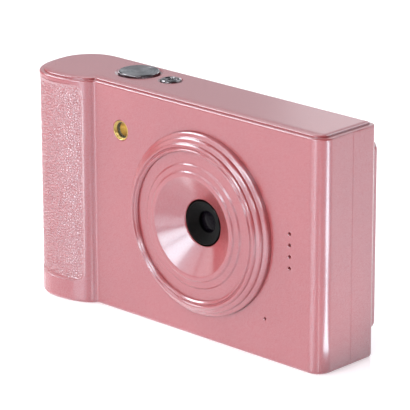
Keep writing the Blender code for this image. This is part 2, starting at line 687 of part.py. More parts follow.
def case_screws(steel):
    head = REAR - 1.0
    start = behind(7)
    under = head - 0.9
    profile = [(0, start), (SCREW_R, start), (SCREW_R, under), (HEAD_R, under), (HEAD_R, head), (0, head)]
    for name, (x, z, _) in CASE_SCREWS.items():
        screw = make(name, turned(profile, (x, z), sides=12), steel)
        slots = box((x - 1.0, head - 0.5, z - 0.2), (x + 1.0, head + 1, z + 0.2))
        combine(screw, "DIFFERENCE", tool(name + "_slot", slots))


def build():
    for item in list(bpy.data.objects):
        bpy.data.objects.remove(item, do_unlink=True)
    pink = material("pink_paint", PINK, 0.25, 0.1)
    black = material("black_plastic", BLACK, 0.35)
    glass = material("lens_glass", (0.05, 0.06, 0.09), 0.02, 0.0, 0.35)
    board = material("circuit_board", BOARD, 0.5)
    steel = material("steel", STEEL, 0.3, 1.0)
    chrome = material("chrome", (0.75, 0.75, 0.77), 0.12, 1.0)
    grey = material("key_plastic", (0.5, 0.5, 0.52), 0.35, 0.4)
    rubber = material("silicone", (0.25, 0.25, 0.26), 0.7)

    front_shell(pink)
    rear_shell(pink)
    top_cover(pink)
    pad = grip_prism(PAD_INNER, PAD_OUTER, PAD_LOW, PAD_HIGH)
    make("grip_pad", pad, material("pink_leatherette", PINK, 0.5))
    lens_parts(pink, black, glass)
    sensor_parts(board, black)
    flash_parts(board)
    sound_parts(black, steel)
    top_buttons(chrome, steel, board)
    rear_keys(grey)
    keypad_parts(board, rubber)
    display_parts(black, steel)
    main_electronics(board, black, steel)
    battery_parts(black)
    battery_door(pink, steel)
    card_parts(black, steel)
    usb_socket(steel)
    tripod_bush(steel)
    case_screws(steel)


build()
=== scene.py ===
"""Looks of the compact digital camera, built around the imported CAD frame.

Lengths are millimetres, unless a comment says metres, and finished meshes are scaled to metres. Places come
from the CAD nodes' boxes. The front faces -Y, and seen from the front the grip is at the left, -X.
"""
from math import asin, atan2, cos, hypot, pi, radians, sin, sqrt

import bmesh
import bpy
import numpy as np
from mathutils import Matrix, Vector


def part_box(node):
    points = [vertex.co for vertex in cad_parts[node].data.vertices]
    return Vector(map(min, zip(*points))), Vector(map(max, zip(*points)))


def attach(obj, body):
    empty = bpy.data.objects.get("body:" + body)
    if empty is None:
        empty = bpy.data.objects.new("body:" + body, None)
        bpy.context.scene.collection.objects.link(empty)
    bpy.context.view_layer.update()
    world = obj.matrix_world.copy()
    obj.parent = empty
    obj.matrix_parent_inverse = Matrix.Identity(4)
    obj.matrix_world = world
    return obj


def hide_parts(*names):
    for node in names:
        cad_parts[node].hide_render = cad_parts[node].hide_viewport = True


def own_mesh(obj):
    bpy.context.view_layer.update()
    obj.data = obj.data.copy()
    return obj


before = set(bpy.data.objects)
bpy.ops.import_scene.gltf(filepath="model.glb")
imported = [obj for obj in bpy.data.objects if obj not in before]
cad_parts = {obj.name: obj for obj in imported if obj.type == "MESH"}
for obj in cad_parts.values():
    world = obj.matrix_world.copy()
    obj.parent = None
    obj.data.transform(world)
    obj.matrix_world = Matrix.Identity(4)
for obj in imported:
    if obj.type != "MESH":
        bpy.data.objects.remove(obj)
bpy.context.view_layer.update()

MM = 0.001
BODY = "camera_body"
CUT, JOIN = "DIFFERENCE", "UNION"


def corners(node):
    """Low and high corner of a CAD node's box."""
    low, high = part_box(node)
    return low / MM, high / MM


def middle(node):
    low, high = corners(node)
    return (low + high) / 2


# ---------------- places, from the frame
SHELL_LOW, SHELL_HIGH = corners("front_shell")
REAR_LOW, REAR_HIGH = corners("rear_shell")
COVER_LOW, COVER_HIGH = corners("top_cover")
DOOR_LOW, DOOR_HIGH = corners("battery_door")
GRIP_RISE = 4.7  # the grip stands this far ahead of the front face
PLATEAU_RISE = 2.05  # the raised housing stands this far behind the rear face
LEFT, RIGHT = SHELL_LOW.x, SHELL_HIGH.x
FRONT = SHELL_LOW.y + GRIP_RISE
BACK = REAR_HIGH.y
REAR = BACK - PLATEAU_RISE
SEAM = (SHELL_HIGH.y + REAR_LOW.y) / 2
HEIGHT = COVER_HIGH.z
RIM_Z = SHELL_HIGH.z
COVER_BOTTOM = COVER_LOW.z
LENS = middle("lens_ring")
FLASH = middle("flash_window")
SHUTTER = middle("shutter_button")
POWER = middle("power_button")
SPEAKER = middle("speaker")
MIC = middle("microphone")
CARD = middle("memory_card")
BUSH = middle("tripod_bush")
USB = middle("usb_socket")
PIN = middle("hinge_pin")
OK = middle("ok_button")
SCREWS = [middle(f"case_screw_{number}") for number in (1, 2, 3)]

# ---------------- shape of the case
WALL = 1.8
RIM = 1.3  # thickness of the wall beside the top cover
SLIT = 0.05  # visible gap between pieces that touch
GAP = 0.3  # clearance round a moving piece
SEAM_GAP = 0.004
EDGE = 1.0  # radius of the bottom edge
CORNER_FRONT = 4.5
CORNER_REAR = 2.0
GRIP_HALF = 12.1  # half the width of the grip's round end
GRIP_X = LEFT + GRIP_HALF
GRIP_Y = FRONT + 10.4
GRIP_POWER = 2.2  # 2 would make the round end an ellipse
FLANK_LONG = 12.8  # half axes of the ellipse from the grip's crest to the front face
FLANK_SHORT = 6.0
FLANK_Y = FRONT - GRIP_RISE + FLANK_SHORT
CREASE = 0.8
PAD_END = radians(37)  # where the grip pad ends on the flank
PAD_CORNER = 3.0
PAD_REACH = hypot(FLANK_LONG * sin(PAD_END), FLANK_SHORT * cos(PAD_END))  # mm per radian there

# ---------------- openings and controls
OUTSIDE = 1  # cuts start this far outside the wall that they open
RING_SEAT, FUNNEL_SEAT = 25.78, 20.0
SPEAKER_HOLE, SPEAKER_PITCH, SPEAKER_COUNT = 0.45, 3.2, 4
MIC_HOLE = 0.35
CARD_X, CARD_Y = 5.8, 0.75  # half sizes of the slot
USB_X, USB_Y, USB_CORNER = 4.8, 1.95, 1.9
BUSH_HOLE = 4.1
PIN_HOLE = 0.7
SHUTTER_R, POWER_R = 5.8, 2.9
STEM_BOTTOM, STEM_R, FLANGE = 60.9, 1.2, 0.8
KEYS = ("zoom_out_button", "zoom_in_button", "mode_button", "playback_button", "menu_button", "delete_button")
KEY_R, OK_R = 2.7, 4.1
ARROW_IN, ARROW_OUT = 4.6, 10.0
KEY_TOP = REAR + 0.9
KEY_BASE = REAR - WALL - GAP
KEY_FLANGE = 0.9

# ---------------- colours
PINK_LIGHT = (0.355, 0.063, 0.067)
PINK_DEEP = (0.325, 0.053, 0.057)
PEARL_TINT = (0.48, 0.86, 1.0)  # tint of the reflections on the pink
CHROME = (0.22, 0.21, 0.225)
FLOOR_DARK, FLOOR_LIGHT = (0.90, 0.90, 0.90), (0.95, 0.95, 0.95)
FLOOR_GLOW = (0.98, 0.93, 1.0)
SURROUND = (0.88, 0.95, 1.0, 1)
SURROUND_BRIGHT = (-0.5, 0.85, 0.15)  # direction in which the surround is brightest

# ---------------- view and lights
CAMERA_PLACE = (0.52725, -0.54865, 0.2840)  # metres
CAMERA_TURN, CAMERA_RISE, CAMERA_ROLL = 43.73, 18.16, -0.15
CAMERA_LENS, CAMERA_SENSOR, CAMERA_SHIFT = 255.5, 36, (0.0054, -0.0073)
LIGHT_REACH = 1.05  # metres from the middle of the camera to each soft light
LIGHTS = (  # name, azimuth, elevation, size in metres, watts
    ("key", -4, 24, 0.42, 4.8), ("key_low", 13, 9, 0.26, 2.0), ("left_edge", -77, 44, 0.44, 7.0),
    ("left_low", -66, 18, 0.46, 1.1), ("left_front", -34, 30, 0.50, 1.7), ("front_high", -20, 54, 0.40, 1.5),
    ("right_high", 28, 40, 0.25, 2.4), ("right_front", 45, 20, 0.16, 1.3), ("rear_right", 138, 18, 0.40, 1.5),
    ("rear_high", 180, 45, 0.5, 1.9), ("rear_left", -130, 45, 0.4, 0.7), ("rear_far", -148, 17, 0.30, 0.20),
    ("rear_low", 178, 6, 0.40, 2.6))
GLINT_CORNER = (RIGHT - 0.5, -7, 0)  # on the floor, near the front right corner
GLINT_TURN = 96  # azimuth along which the glint lights lie on the floor
GLINTS = (  # name, start and end from the corner, width, all in metres, watts
    ("glint_near", 0.014, 0.09, 0.014, 0.026), ("glint_far", 0.09, 0.30, 0.048, 0.25))


# ---------------- mesh helpers

def quarter(steps):
    """Angles from zero to a right angle."""
    return [radians(90 * k / steps) for k in range(steps + 1)]


def polar(centre, radius, angle):
    return centre[0] + radius * cos(angle), centre[1] + radius * sin(angle)


def arc(centre, radius, begin, steps):
    """Points of a quarter circle that begins at an angle in degrees."""
    return [polar(centre, radius, radians(begin + 90 * k / steps)) for k in range(steps + 1)]


def curve(first, turn, last, steps):
    """Points of a smooth curve from first to last, drawn toward turn."""
    fractions = [k / steps for k in range(steps + 1)]
    return [tuple(first * (1 - t) ** 2 + turn * 2 * t * (1 - t) + last * t * t) for t in fractions]


def stack(loops, mesh=None, closed=False):
    """Join loops of equal length; cap the two ends unless the stack closes on itself."""
    mesh = mesh or bmesh.new()
    rows = [[mesh.verts.new(point) for point in loop] for loop in loops]
    count = len(rows[0])
    pairs = list(zip(rows, rows[1:]))
    if closed:
        pairs.append((rows[-1], rows[0]))
    for low, high in pairs:
        for i in range(count):
            j = (i + 1) % count
            mesh.faces.new((low[i], low[j], high[j], high[i]))
    if not closed:
        mesh.faces.new(rows[0][::-1])
        mesh.faces.new(rows[-1])
    return mesh


def box(low, high, mesh=None):
    """Block between two opposite corners."""
    square = [(low[0], low[1]), (high[0], low[1]), (high[0], high[1]), (low[0], high[1])]
    return stack([[(x, y, z) for x, y in square] for z in (low[2], high[2])], mesh)


def turned(profile, centre, axis="Y", sides=96, mesh=None):
    """Turn (radius, distance) pairs about an axis; a profile with both ends on the axis gives a solid."""
    mesh = mesh or bmesh.new()
    solid = profile[0][0] == 0 and profile[-1][0] == 0
    steps = [2 * pi * k / sides for k in range(sides)]
    order = {"X": (2, 0, 1), "Y": (0, 2, 1), "Z": (0, 1, 2)}[axis]

    def place(radius, along, angle):
        point = (*polar(centre, radius, angle), along)
        return [point[i] for i in order]

    if not solid:
        return stack([[place(r, a, t) for t in steps] for r, a in profile], mesh, closed=True)
    start = mesh.verts.new(place(*profile[0], 0))
    end = mesh.verts.new(place(*profile[-1], 0))
    rows = [[mesh.verts.new(place(r, a, t)) for t in steps] for r, a in profile[1:-1]]
    for k in range(sides):
        j = (k + 1) % sides
        mesh.faces.new((start, rows[0][j], rows[0][k]))
        mesh.faces.new((end, rows[-1][k], rows[-1][j]))
        for low, high in zip(rows, rows[1:]):
            mesh.faces.new((low[k], low[j], high[j], high[k]))
    return mesh


def from_front(profile, centre, sides, mesh=None):
    """Turn (radius, depth behind the front face) pairs about an axis through (x, z)."""
    return turned([(radius, FRONT + depth) for radius, depth in profile], centre, sides=sides, mesh=mesh)


def rod(radius, start, end, centre, axis="Y", sides=48, mesh=None):
    return turned([(0, start), (radius, start), (radius, end), (0, end)], centre, axis, sides, mesh)


def rounded_edge(outer, start, radius):
    """Quarter arc of (radius, distance) pairs that rounds the far edge of a turned profile."""
    return [(outer - radius * (1 - cos(a)), start + radius * sin(a)) for a in quarter(6)[1:]]


def soften(profile, radius):
    """Round every corner of an open profile, by at most radius and at most half of the shorter side."""
    points = [Vector(p) for p in profile]
    smooth = [tuple(points[0])]
    for before, here, after in zip(points, points[1:], points[2:]):
        back, on = before - here, after - here
        reach = min(radius, back.length * 0.48, on.length * 0.48)
        smooth += curve(here + back.normalized() * reach, here, here + on.normalized() * reach, 4)
    return smooth + [tuple(points[-1])]


def soften_ring(profile, radius):
    """Round every corner of a closed profile."""
    return soften([profile[-1]] + list(profile) + [profile[0]], radius)[1:-1]


def rounded_rectangle(x0, x1, z0, z1, radius, inset=0.0):
    radius = max(radius - inset, 0.05)
    x0, x1, z0, z1 = x0 + inset, x1 - inset, z0 + inset, z1 - inset
    centres = [(x1 - radius, z0 + radius), (x1 - radius, z1 - radius),
               (x0 + radius, z1 - radius), (x0 + radius, z0 + radius)]
    points = []
    for number, centre in enumerate(centres):
        points += arc(centre, radius, -90 + 90 * number, 8)
    return points


def sides_of(low, high, margin=0.0):
    """Left, right, bottom and top of a box seen from the front, moved in by a margin."""
    return low.x + margin, high.x - margin, low.z + margin, high.z - margin


def slab(sides, radius, levels, closed=False):
    """A rounded rectangle in X and Z stacked along Y; levels are (y, inset)."""
    loops = [[(x, y, z) for x, z in rounded_rectangle(*sides, radius, inset)] for y, inset in levels]
    return stack(loops, closed=closed)


def show(name, data):
    made = bpy.data.objects.new(name, data)
    bpy.context.scene.collection.objects.link(made)
    return made


def mesh_object(name, mesh):
    data = bpy.data.meshes.new(name)
    mesh.to_mesh(data)
    mesh.free()
    return show(name, data)


def temporary(mesh):
    """Working object for a Boolean."""
    bmesh.ops.recalc_face_normals(mesh, faces=mesh.faces)
    return mesh_object("working", mesh)


def combined(target, *steps):
    """Apply Boolean steps of (operation, mesh) to a mesh, and return the resulting mesh."""
    base = temporary(target)
    tools = []
    for operation, mesh in steps:
        other = temporary(mesh)
        tools.append(other)
        step = base.modifiers.new(operation, "BOOLEAN")
        step.operation = operation
        step.solver = "EXACT"
        step.object = other
    bpy.context.view_layer.update()
    result = bmesh.new()
    result.from_object(base, bpy.context.evaluated_depsgraph_get())
    for item in tools + [base]:
        data = item.data
        bpy.data.objects.remove(item)
        bpy.data.meshes.remove(data)
    merge = 0.0005
    bmesh.ops.remove_doubles(result, verts=result.verts, dist=merge)
    bmesh.ops.dissolve_degenerate(result, edges=result.edges, dist=merge)
    return result


def placed(name, mesh, finish):
    """Object in metres from a mesh in millimetres."""
    mesh.transform(Matrix.Scale(MM, 4))
    made = mesh_object(name, mesh)
    made.data.materials.append(finish)
    return made


def piece(name, mesh, finish, slot, body=BODY, stands_for=None, sharp=32, weighted=True):
    """Finish a mesh as a visible piece: smooth shading, material, body and replaced node; slot is not used."""
    bmesh.ops.recalc_face_normals(mesh, faces=mesh.faces)
    made = placed(name, mesh, finish)
    made.data.shade_smooth()
    made.data.set_sharp_from_angle(angle=radians(sharp))
    if weighted:
        normals = made.modifiers.new("even_normals", "WEIGHTED_NORMAL")
        normals.keep_sharp = True
    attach(made, body)
    if stands_for:
        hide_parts(stands_for)
    return made


# ---------------- materials

def new_material(name, **values):
    """A Principled material with constant values set on its own sockets."""
    made = bpy.data.materials.new(name)
    made.use_nodes = True
    shader = made.node_tree.nodes["Principled BSDF"]
    for key, value in values.items():
        socket = shader.inputs[key.replace("_", " ")]
        socket.default_value = (*value, 1.0) if isinstance(value, tuple) else value
    return made, made.node_tree, shader


def feed(tree, node, **values):
    """Set a node's properties, and set or link its inputs, by name."""
    for key, value in values.items():
        if hasattr(node, key):
            setattr(node, key, value)
        elif isinstance(value, bpy.types.NodeSocket):
            tree.links.new(value, node.inputs[key.replace("_", " ")])
        else:
            node.inputs[key.replace("_", " ")].default_value = value
    return node


def add(tree, kind, **values):
    return feed(tree, tree.nodes.new("ShaderNode" + kind), **values)


def coordinates(tree, kind):
    return add(tree, "TexCoord").outputs[kind]


def place_noise(tree, scale, detail, roughness=0.55):
    """Noise in the object's own coordinates; scale is in features per metre."""
    where = coordinates(tree, "Object")
    return add(tree, "TexNoise", Scale=scale, Detail=detail, Roughness=roughness, Vector=where).outputs["Fac"]


def ramp(tree, source, low, high):
    """Colour ramp from low to high over the middle of the source."""
    node = add(tree, "ValToRGB", Fac=source)
    for element, position, colour in zip(node.color_ramp.elements, (0.3, 0.7), (low, high)):
        element.position = position
        element.color = (*colour, 1.0)
    return node.outputs["Color"]


def spread(tree, source, low, high, start=0.3, end=0.7):
    """Number from low to high over the source's start to end."""
    limits = {"From_Min": start, "From_Max": end, "To_Min": low, "To_Max": high}
    return add(tree, "MapRange", Value=source, **limits).outputs["Result"]


def bump(tree, source, strength, distance):
    """Bump of a height in metres."""
    return add(tree, "Bump", Strength=strength, Distance=distance, Height=source).outputs["Normal"]


def coloured(tree, shader, source, colours, roughness):
    """Let a source run through two colours and two roughnesses."""
    feed(tree, shader, Base_Color=ramp(tree, source, *colours), Roughness=spread(tree, source, *roughness))


def pearl_paint():
    """Pearlescent pink paint: fine metallic flake under a clear coat, with a faint orange-peel surface."""
    made, tree, shader = new_material("pearl_pink", IOR=2.0, Specular_Tint=PEARL_TINT, Coat_Weight=0.7,
                                      Coat_Roughness=0.15, Coat_IOR=1.5)
    flake, drift = place_noise(tree, 9000.0, 1.0), place_noise(tree, 45.0, 2.0)
    mixed = add(tree, "Math", operation="MULTIPLY_ADD")
    scaled = add(tree, "Math", operation="MULTIPLY")
    mixed.inputs[1].default_value, scaled.inputs[1].default_value = 0.35, 0.65
    tree.links.new(flake, mixed.inputs[0])
    tree.links.new(drift, scaled.inputs[0])
    tree.links.new(scaled.outputs["Value"], mixed.inputs[2])
    peel = bump(tree, place_noise(tree, 1400.0, 2.0), 0.06, 0.00004)
    feed(tree, shader, Base_Color=ramp(tree, mixed.outputs["Value"], PINK_DEEP, PINK_LIGHT),
         Roughness=spread(tree, flake, 0.25, 0.33), Normal=peel)
    return made


def leather_paint():
    """The same pink, glossier and more uneven, for the grained pad."""
    made, tree, shader = new_material("pink_leather_grain", IOR=2.1, Specular_Tint=PEARL_TINT, Coat_Weight=1.0,
                                      Coat_Roughness=0.13, Coat_IOR=1.8)
    fine = place_noise(tree, 2600.0, 3.0)
    coloured(tree, shader, fine, (PINK_DEEP, PINK_LIGHT), (0.24, 0.38))
    feed(tree, shader, Normal=bump(tree, fine, 0.25, 0.00005))
    return made


def metal(name, colour, roughness, scale):
    """Metal with fine cloudy marks; scale is in features per metre."""
    made, tree, shader = new_material(name, Metallic=1.0, Roughness=roughness)
    clouds, darker = place_noise(tree, scale, 4.0, 0.5), tuple(c * 0.86 for c in colour)
    coloured(tree, shader, clouds, (darker, colour), (roughness * 0.8, roughness * 1.3))
    return made


def turned_metal(name, colour, roughness):
    """Metal with turning marks round the Z axis, which stretch each reflection into a wedge."""
    made, tree, shader = new_material(name, Metallic=1.0, Roughness=roughness, Anisotropic=0.9,
                                      Anisotropic_Rotation=0.25)
    centred = add(tree, "Mapping", Location=(-0.5, -0.5, 0.0), Scale=(1.0, 1.0, 0.0),
                  Vector=coordinates(tree, "Generated"))
    radius = add(tree, "VectorMath", operation="LENGTH", Vector=centred.outputs["Vector"])
    marks = add(tree, "TexNoise", noise_dimensions="1D", Scale=90.0, Detail=3.0, W=radius.outputs["Value"])
    darker = tuple(c * 0.7 for c in colour)
    coloured(tree, shader, marks.outputs["Fac"], (darker, colour), (roughness * 0.8, roughness * 1.2))
    feed(tree, shader, Tangent=add(tree, "Tangent", direction_type="RADIAL", axis="Z").outputs["Tangent"])
    return made


def plastic(name, colour, roughness, bumpiness=0.15, **extra):
    """Moulded plastic with a fine spark-eroded texture."""
    speckle = 0.15
    made, tree, shader = new_material(name, Roughness=roughness, **extra)
    noise = place_noise(tree, 3000.0, 3.0)
    low = tuple(c * (1 - speckle) for c in colour)
    high = tuple(min(c * (1 + speckle), 1.0) for c in colour)
    coloured(tree, shader, noise, (low, high), (roughness * 0.85, roughness * 1.15))
    feed(tree, shader, Normal=bump(tree, noise, bumpiness, 0.00003))
    return made


def circuit_board():
    """Green solder mask with copper tracks under it, as the joints of a brick pattern."""
    made, tree, shader = new_material("circuit_board", Roughness=0.35, Coat_Weight=0.3)
    turn = add(tree, "Mapping", Rotation=(radians(90), 0, 0), Vector=coordinates(tree, "Object"))
    brick = add(tree, "TexBrick", Scale=220.0, Mortar_Size=0.012, Color1=(0.008, 0.075, 0.03, 1),
                Color2=(0.01, 0.09, 0.036, 1), Mortar=(0.03, 0.17, 0.06, 1), Vector=turn.outputs["Vector"])
    gloss = spread(tree, brick.outputs["Fac"], 0.3, 0.45, 0, 1)
    feed(tree, shader, Base_Color=brick.outputs["Color"], Roughness=gloss)
    return made


def clear(name, colour, roughness, alpha, **extra):
    """Thin clear part: a glossy coat over a see-through tint, with faint dust in its roughness."""
    made, tree, shader = new_material(name, Base_Color=colour, Roughness=roughness, Alpha=alpha, IOR=1.52,
                                      Coat_Weight=1.0, Coat_Roughness=0.02, **extra)
    darker = tuple(c * 0.9 for c in colour)
    coloured(tree, shader, place_noise(tree, 500.0, 3.0), (darker, colour), (roughness, roughness + 0.05))
    return made


# ---------------- case outline

def round_end(angle, inset):
    """Place on the grip's round end, from its far left at zero to its crest at a right angle."""
    x = GRIP_X - (GRIP_HALF - inset) * cos(angle) ** (2 / GRIP_POWER)
    reach = GRIP_Y - FRONT + GRIP_RISE - inset
    return x, GRIP_Y - reach * sin(angle) ** (2 / GRIP_POWER)


def flank(angle, inset):
    """Place on the grip's right flank, with the crest at a right angle."""
    return GRIP_X + (FLANK_LONG - inset) * cos(angle), FLANK_Y - (FLANK_SHORT - inset) * sin(angle)


def flank_points(end, inset, steps):
    """Even steps from the crest toward an end angle, which is left out."""
    return [flank(pi / 2 + (end - pi / 2) * k / steps, inset) for k in range(steps)]


def grip_front(front, side):
    points = []
    for angle in quarter(30)[:-1]:
        x, y = round_end(angle, front)
        points.append((x + (side - front) * cos(angle), y))
    return points


def creased_flank(inset):
    """The flank, and a soft crease between it and the front face."""
    end = asin(max(FLANK_Y - FRONT - inset, 0.0) / (FLANK_SHORT - inset))
    last = end + CREASE / FLANK_SHORT
    x, y = flank(end, inset)[0], FRONT + inset
    crease = curve(Vector(flank(last, inset)), Vector((x, y)), Vector((x + CREASE, y)), 8)
    return flank_points(last, inset, 24) + crease


def right_corners(front, side, rear):
    before = max(CORNER_FRONT - max(front, side), 0.3)
    behind = max(CORNER_REAR - max(side, rear), 0.3)
    return (arc((RIGHT - side - before, FRONT + front + before), before, -90, 12)
            + arc((RIGHT - side - behind, REAR - rear - behind), behind, 0, 12))


def rear_end(side, rear):
    """The left end behind the grip, an ellipse."""
    steps = 26
    points = []
    for k in range(steps):
        angle = radians(90 + 90 * k / steps)
        x = GRIP_X + (GRIP_HALF - side) * cos(angle)
        points.append((x, GRIP_Y + (REAR - rear - GRIP_Y) * sin(angle)))
    return points


def level(z, front=0.0, side=None, rear=None):
    """Outline of the case at one height, moved in by its walls; side and rear are as front unless given."""
    side = front if side is None else side
    rear = front if rear is None else rear
    points = grip_front(front, side) + creased_flank(front)
    return [(x, y, z) for x, y in points + right_corners(front, side, rear) + rear_end(side, rear)]


def body_volume():
    """Both shells as one solid, with a round bottom edge and a small bevel at the rim."""
    bevel = 0.5
    loops = [level(EDGE * (1 - cos(a)), EDGE * (1 - sin(a))) for a in quarter(8)]
    loops += [level(RIM_Z - bevel + bevel * sin(a), bevel * (1 - cos(a))) for a in quarter(6)]
    return stack(loops)


def cavity_volume():
    """The inside of both shells, with a ledge for the cover."""
    ledge = COVER_BOTTOM - SLIT
    return stack([level(WALL, WALL), level(ledge, WALL), level(ledge, RIM), level(HEIGHT + 2, RIM)])


def seam_groove():
    """V groove round the case where the two shells meet."""
    half, depth, above = 0.4, 0.07, 8
    sides = (LEFT, RIGHT, 0, HEIGHT + above)
    return slab(sides, EDGE, [(SEAM - half, 0), (SEAM, depth), (SEAM + half, 0), (SEAM, -2)], closed=True)


def slice_from(y0, y1):
    """Block that cuts away everything between two depths."""
    half, bottom, top = 70, -5, 75
    return box((-half, y0, bottom), (half, y1, top))


# ---------------- case

def front_openings():
    """Seats of the lens ring and funnel, flash opening, speaker holes and microphone hole."""
    seat = [(0, -3), (RING_SEAT, -3), (RING_SEAT, 0.5), (FUNNEL_SEAT, 0.5), (FUNNEL_SEAT, 3), (0, 3)]
    cuts = from_front(seat, (LENS.x, LENS.z), 128)
    rim = [(0, -1), (3.4, -1), (3.15, 0), (2.95, 0.12), (2.8, 0.4), (2.8, 3), (0, 3)]
    from_front(rim, (FLASH.x, FLASH.z), 64, cuts)
    for k in range(SPEAKER_COUNT):
        small_hole(SPEAKER_HOLE, SPEAKER.x, SPEAKER.z + SPEAKER_PITCH * (k - (SPEAKER_COUNT - 1) / 2), cuts)
    small_hole(MIC_HOLE, MIC.x, MIC.z, cuts)
    return cuts


def small_hole(radius, x, z, mesh):
    """A drilled hole with a tiny countersink."""
    lip = radius + 0.2
    from_front([(0, -1), (lip, -1), (lip, -0.001), (radius, 0.2), (radius, 3), (0, 3)], (x, z), 24, mesh)


def bottom_openings(mesh):
    """Openings for the battery door, memory card, tripod bush and USB socket."""
    below, above = -OUTSIDE, WALL + OUTSIDE
    box((DOOR_LOW.x - GAP, DOOR_LOW.y - GAP, below), (DOOR_HIGH.x + GAP, DOOR_HIGH.y + GAP, above), mesh)
    box((CARD.x - CARD_X, CARD.y - CARD_Y, below), (CARD.x + CARD_X, CARD.y + CARD_Y, above), mesh)
    rod(BUSH_HOLE, below, above, (BUSH.x, BUSH.y), "Z", 64, mesh)
    port = rounded_rectangle(USB.x - USB_X, USB.x + USB_X, USB.y - USB_Y, USB.y + USB_Y, USB_CORNER)
    stack([[(x, y, z) for x, y in port] for z in (below, above)], mesh)


def hinge_ears():
    """Ears beside the battery door that hold its pin."""
    far, half, rise = 2.4, 1.6, 1.7
    ears = bmesh.new()
    for x0, x1 in ((DOOR_LOW.x - far, DOOR_LOW.x - GAP), (DOOR_HIGH.x + GAP, DOOR_HIGH.x + far)):
        box((x0, PIN.y - half, WALL / 2), (x1, PIN.y + half, PIN.z + rise), ears)
    return ears


def pin_hole(beyond):
    """Bore for the hinge pin, longer than the door by a distance at each end."""
    return rod(PIN_HOLE, DOOR_LOW.x - beyond, DOOR_HIGH.x + beyond, (PIN.y, PIN.z), "X", 24)


def grip_path(inset, beyond=0.0, fine=1):
    """Points from the grip's far left, over its crest, to a place beyond the pad's edge on the flank."""
    stop = PAD_END - beyond / PAD_REACH
    points = [round_end(angle, inset) for angle in quarter(30 * fine)[:-1]]
    return points + flank_points(stop, inset, 18 * fine) + [flank(pi / 2 + (stop - pi / 2), inset)]


def grip_pocket():
    """Seat of the grip pad: chamfered ledges below and above it, and round corners beside the flank."""
    low, high = (corner.z for corner in corners("grip_pad"))
    slit, chamfer, deep, shallow, outer_inset = 0.02, 0.14, 1.0, 0.1, -1.5
    steps = 8
    rises = [PAD_CORNER * k / steps for k in range(1, steps + 1)]
    levels = [(low - chamfer, -slit, 0.0), (low - slit, shallow, 0.0), (low - slit / 2, deep, 0.0)]
    levels += [(low + up, deep, up) for up in rises]
    levels += [(high - up, deep, up) for up in reversed(rises)]
    levels += [(high + slit / 2, deep, 0.0), (high + slit, shallow, 0.0), (high + chamfer, -slit, 0.0)]
    loops = []
    for z, inset, up in levels:
        pulled_in = PAD_CORNER - sqrt(PAD_CORNER ** 2 - (PAD_CORNER - up) ** 2)
        outer, inner = grip_path(outer_inset, slit - pulled_in), grip_path(inset, slit - pulled_in)
        loops.append([(x, y, z) for x, y in outer + inner[::-1]])
    return stack(loops)


def front_case(paint):
    cuts = front_openings()
    bottom_openings(cuts)
    shell = combined(body_volume(), (CUT, cavity_volume()),
                     (CUT, slice_from(SEAM - SEAM_GAP / 2, 40)), (CUT, seam_groove()),
                     (JOIN, hinge_ears()), (CUT, cuts), (CUT, pin_hole(2.0)),
                     (CUT, grip_pocket()))
    piece("front_case", shell, paint, "pink_paint", stands_for="front_shell")


def raised_housing(window_low, window_high):
    """Housing round the display, with a round edge."""
    rounding = 1.0
    sides = (window_low.x - 2.8, window_high.x + 3.25, window_low.z - 2.5, window_high.z + 2.5)
    levels = [(REAR - 0.5, 0)]
    levels += [(BACK - rounding + sin(a), rounding - cos(a)) for a in quarter(8)]
    return slab(sides, 3.0, levels)


def key_well(radius, x, z, mesh):
    hole, chamfer = radius + 0.2, 0.3
    profile = [(0, REAR - WALL - OUTSIDE), (hole, REAR - WALL - OUTSIDE), (hole, REAR - 0.25),
               (hole + chamfer, REAR + 0.05), (hole + chamfer, REAR + OUTSIDE), (0, REAR + OUTSIDE)]
    turned(profile, (x, z), sides=96 if radius == ARROW_OUT else 48, mesh=mesh)


def screw_well(place, mesh):
    """Countersunk well for a case screw, through its boss."""
    thread, head, lip = 1.15, 1.8, 2.1
    profile = [(0, SEAM - 1), (thread, SEAM - 1), (thread, REAR - 2.2), (head, REAR - 2.2), (head, REAR - 0.2),
               (lip, REAR + 0.1), (lip, REAR + OUTSIDE), (0, REAR + OUTSIDE)]
    turned(profile, (place.x, place.z), sides=32, mesh=mesh)


def rear_case(paint):
    window = corners("display_window")
    cuts = slab(sides_of(*window), 1.5, [(window[0].y - GAP, -SLIT), (BACK + OUTSIDE, -SLIT)])
    panel_hole = slab(sides_of(*corners("display_panel")), 0.5,
                      [(REAR - WALL - OUTSIDE, -GAP), (BACK - OUTSIDE, -GAP)])
    key_well(ARROW_OUT, OK.x, OK.z, cuts)
    for name in KEYS:
        key_well(KEY_R, middle(name).x, middle(name).z, cuts)
    bosses = bmesh.new()
    for place in SCREWS:
        screw_well(place, cuts)
        rod(2.2, SEAM + GAP, REAR - WALL / 2, (place.x, place.z), mesh=bosses, sides=32)
    shell = combined(body_volume(), (JOIN, raised_housing(*window)), (CUT, cavity_volume()),
                     (CUT, slice_from(-40, SEAM + SEAM_GAP / 2)), (CUT, seam_groove()),
                     (JOIN, bosses), (CUT, cuts), (CUT, panel_hole))
    piece("rear_case", shell, paint, "pink_paint", stands_for="rear_shell")


def dished_well(place, radius, dish, sides, mesh):
    """Hole for a top button, with a soft dish round it."""
    hole, lip, depth, steps = radius + 0.15, 0.12, 0.4, 5
    profile = [(0, COVER_BOTTOM - OUTSIDE), (hole, COVER_BOTTOM - OUTSIDE), (hole, HEIGHT - 0.42),
               (hole + lip, HEIGHT - depth)]
    for k in range(steps + 1):
        t = k / steps
        profile.append((hole + lip + (dish - 0.27) * t, HEIGHT - depth * (1 - t * t * (3 - 2 * t))))
    profile += [(radius + dish, HEIGHT + OUTSIDE), (0, HEIGHT + OUTSIDE)]
    turned(profile, (place.x, place.y), "Z", sides, mesh)


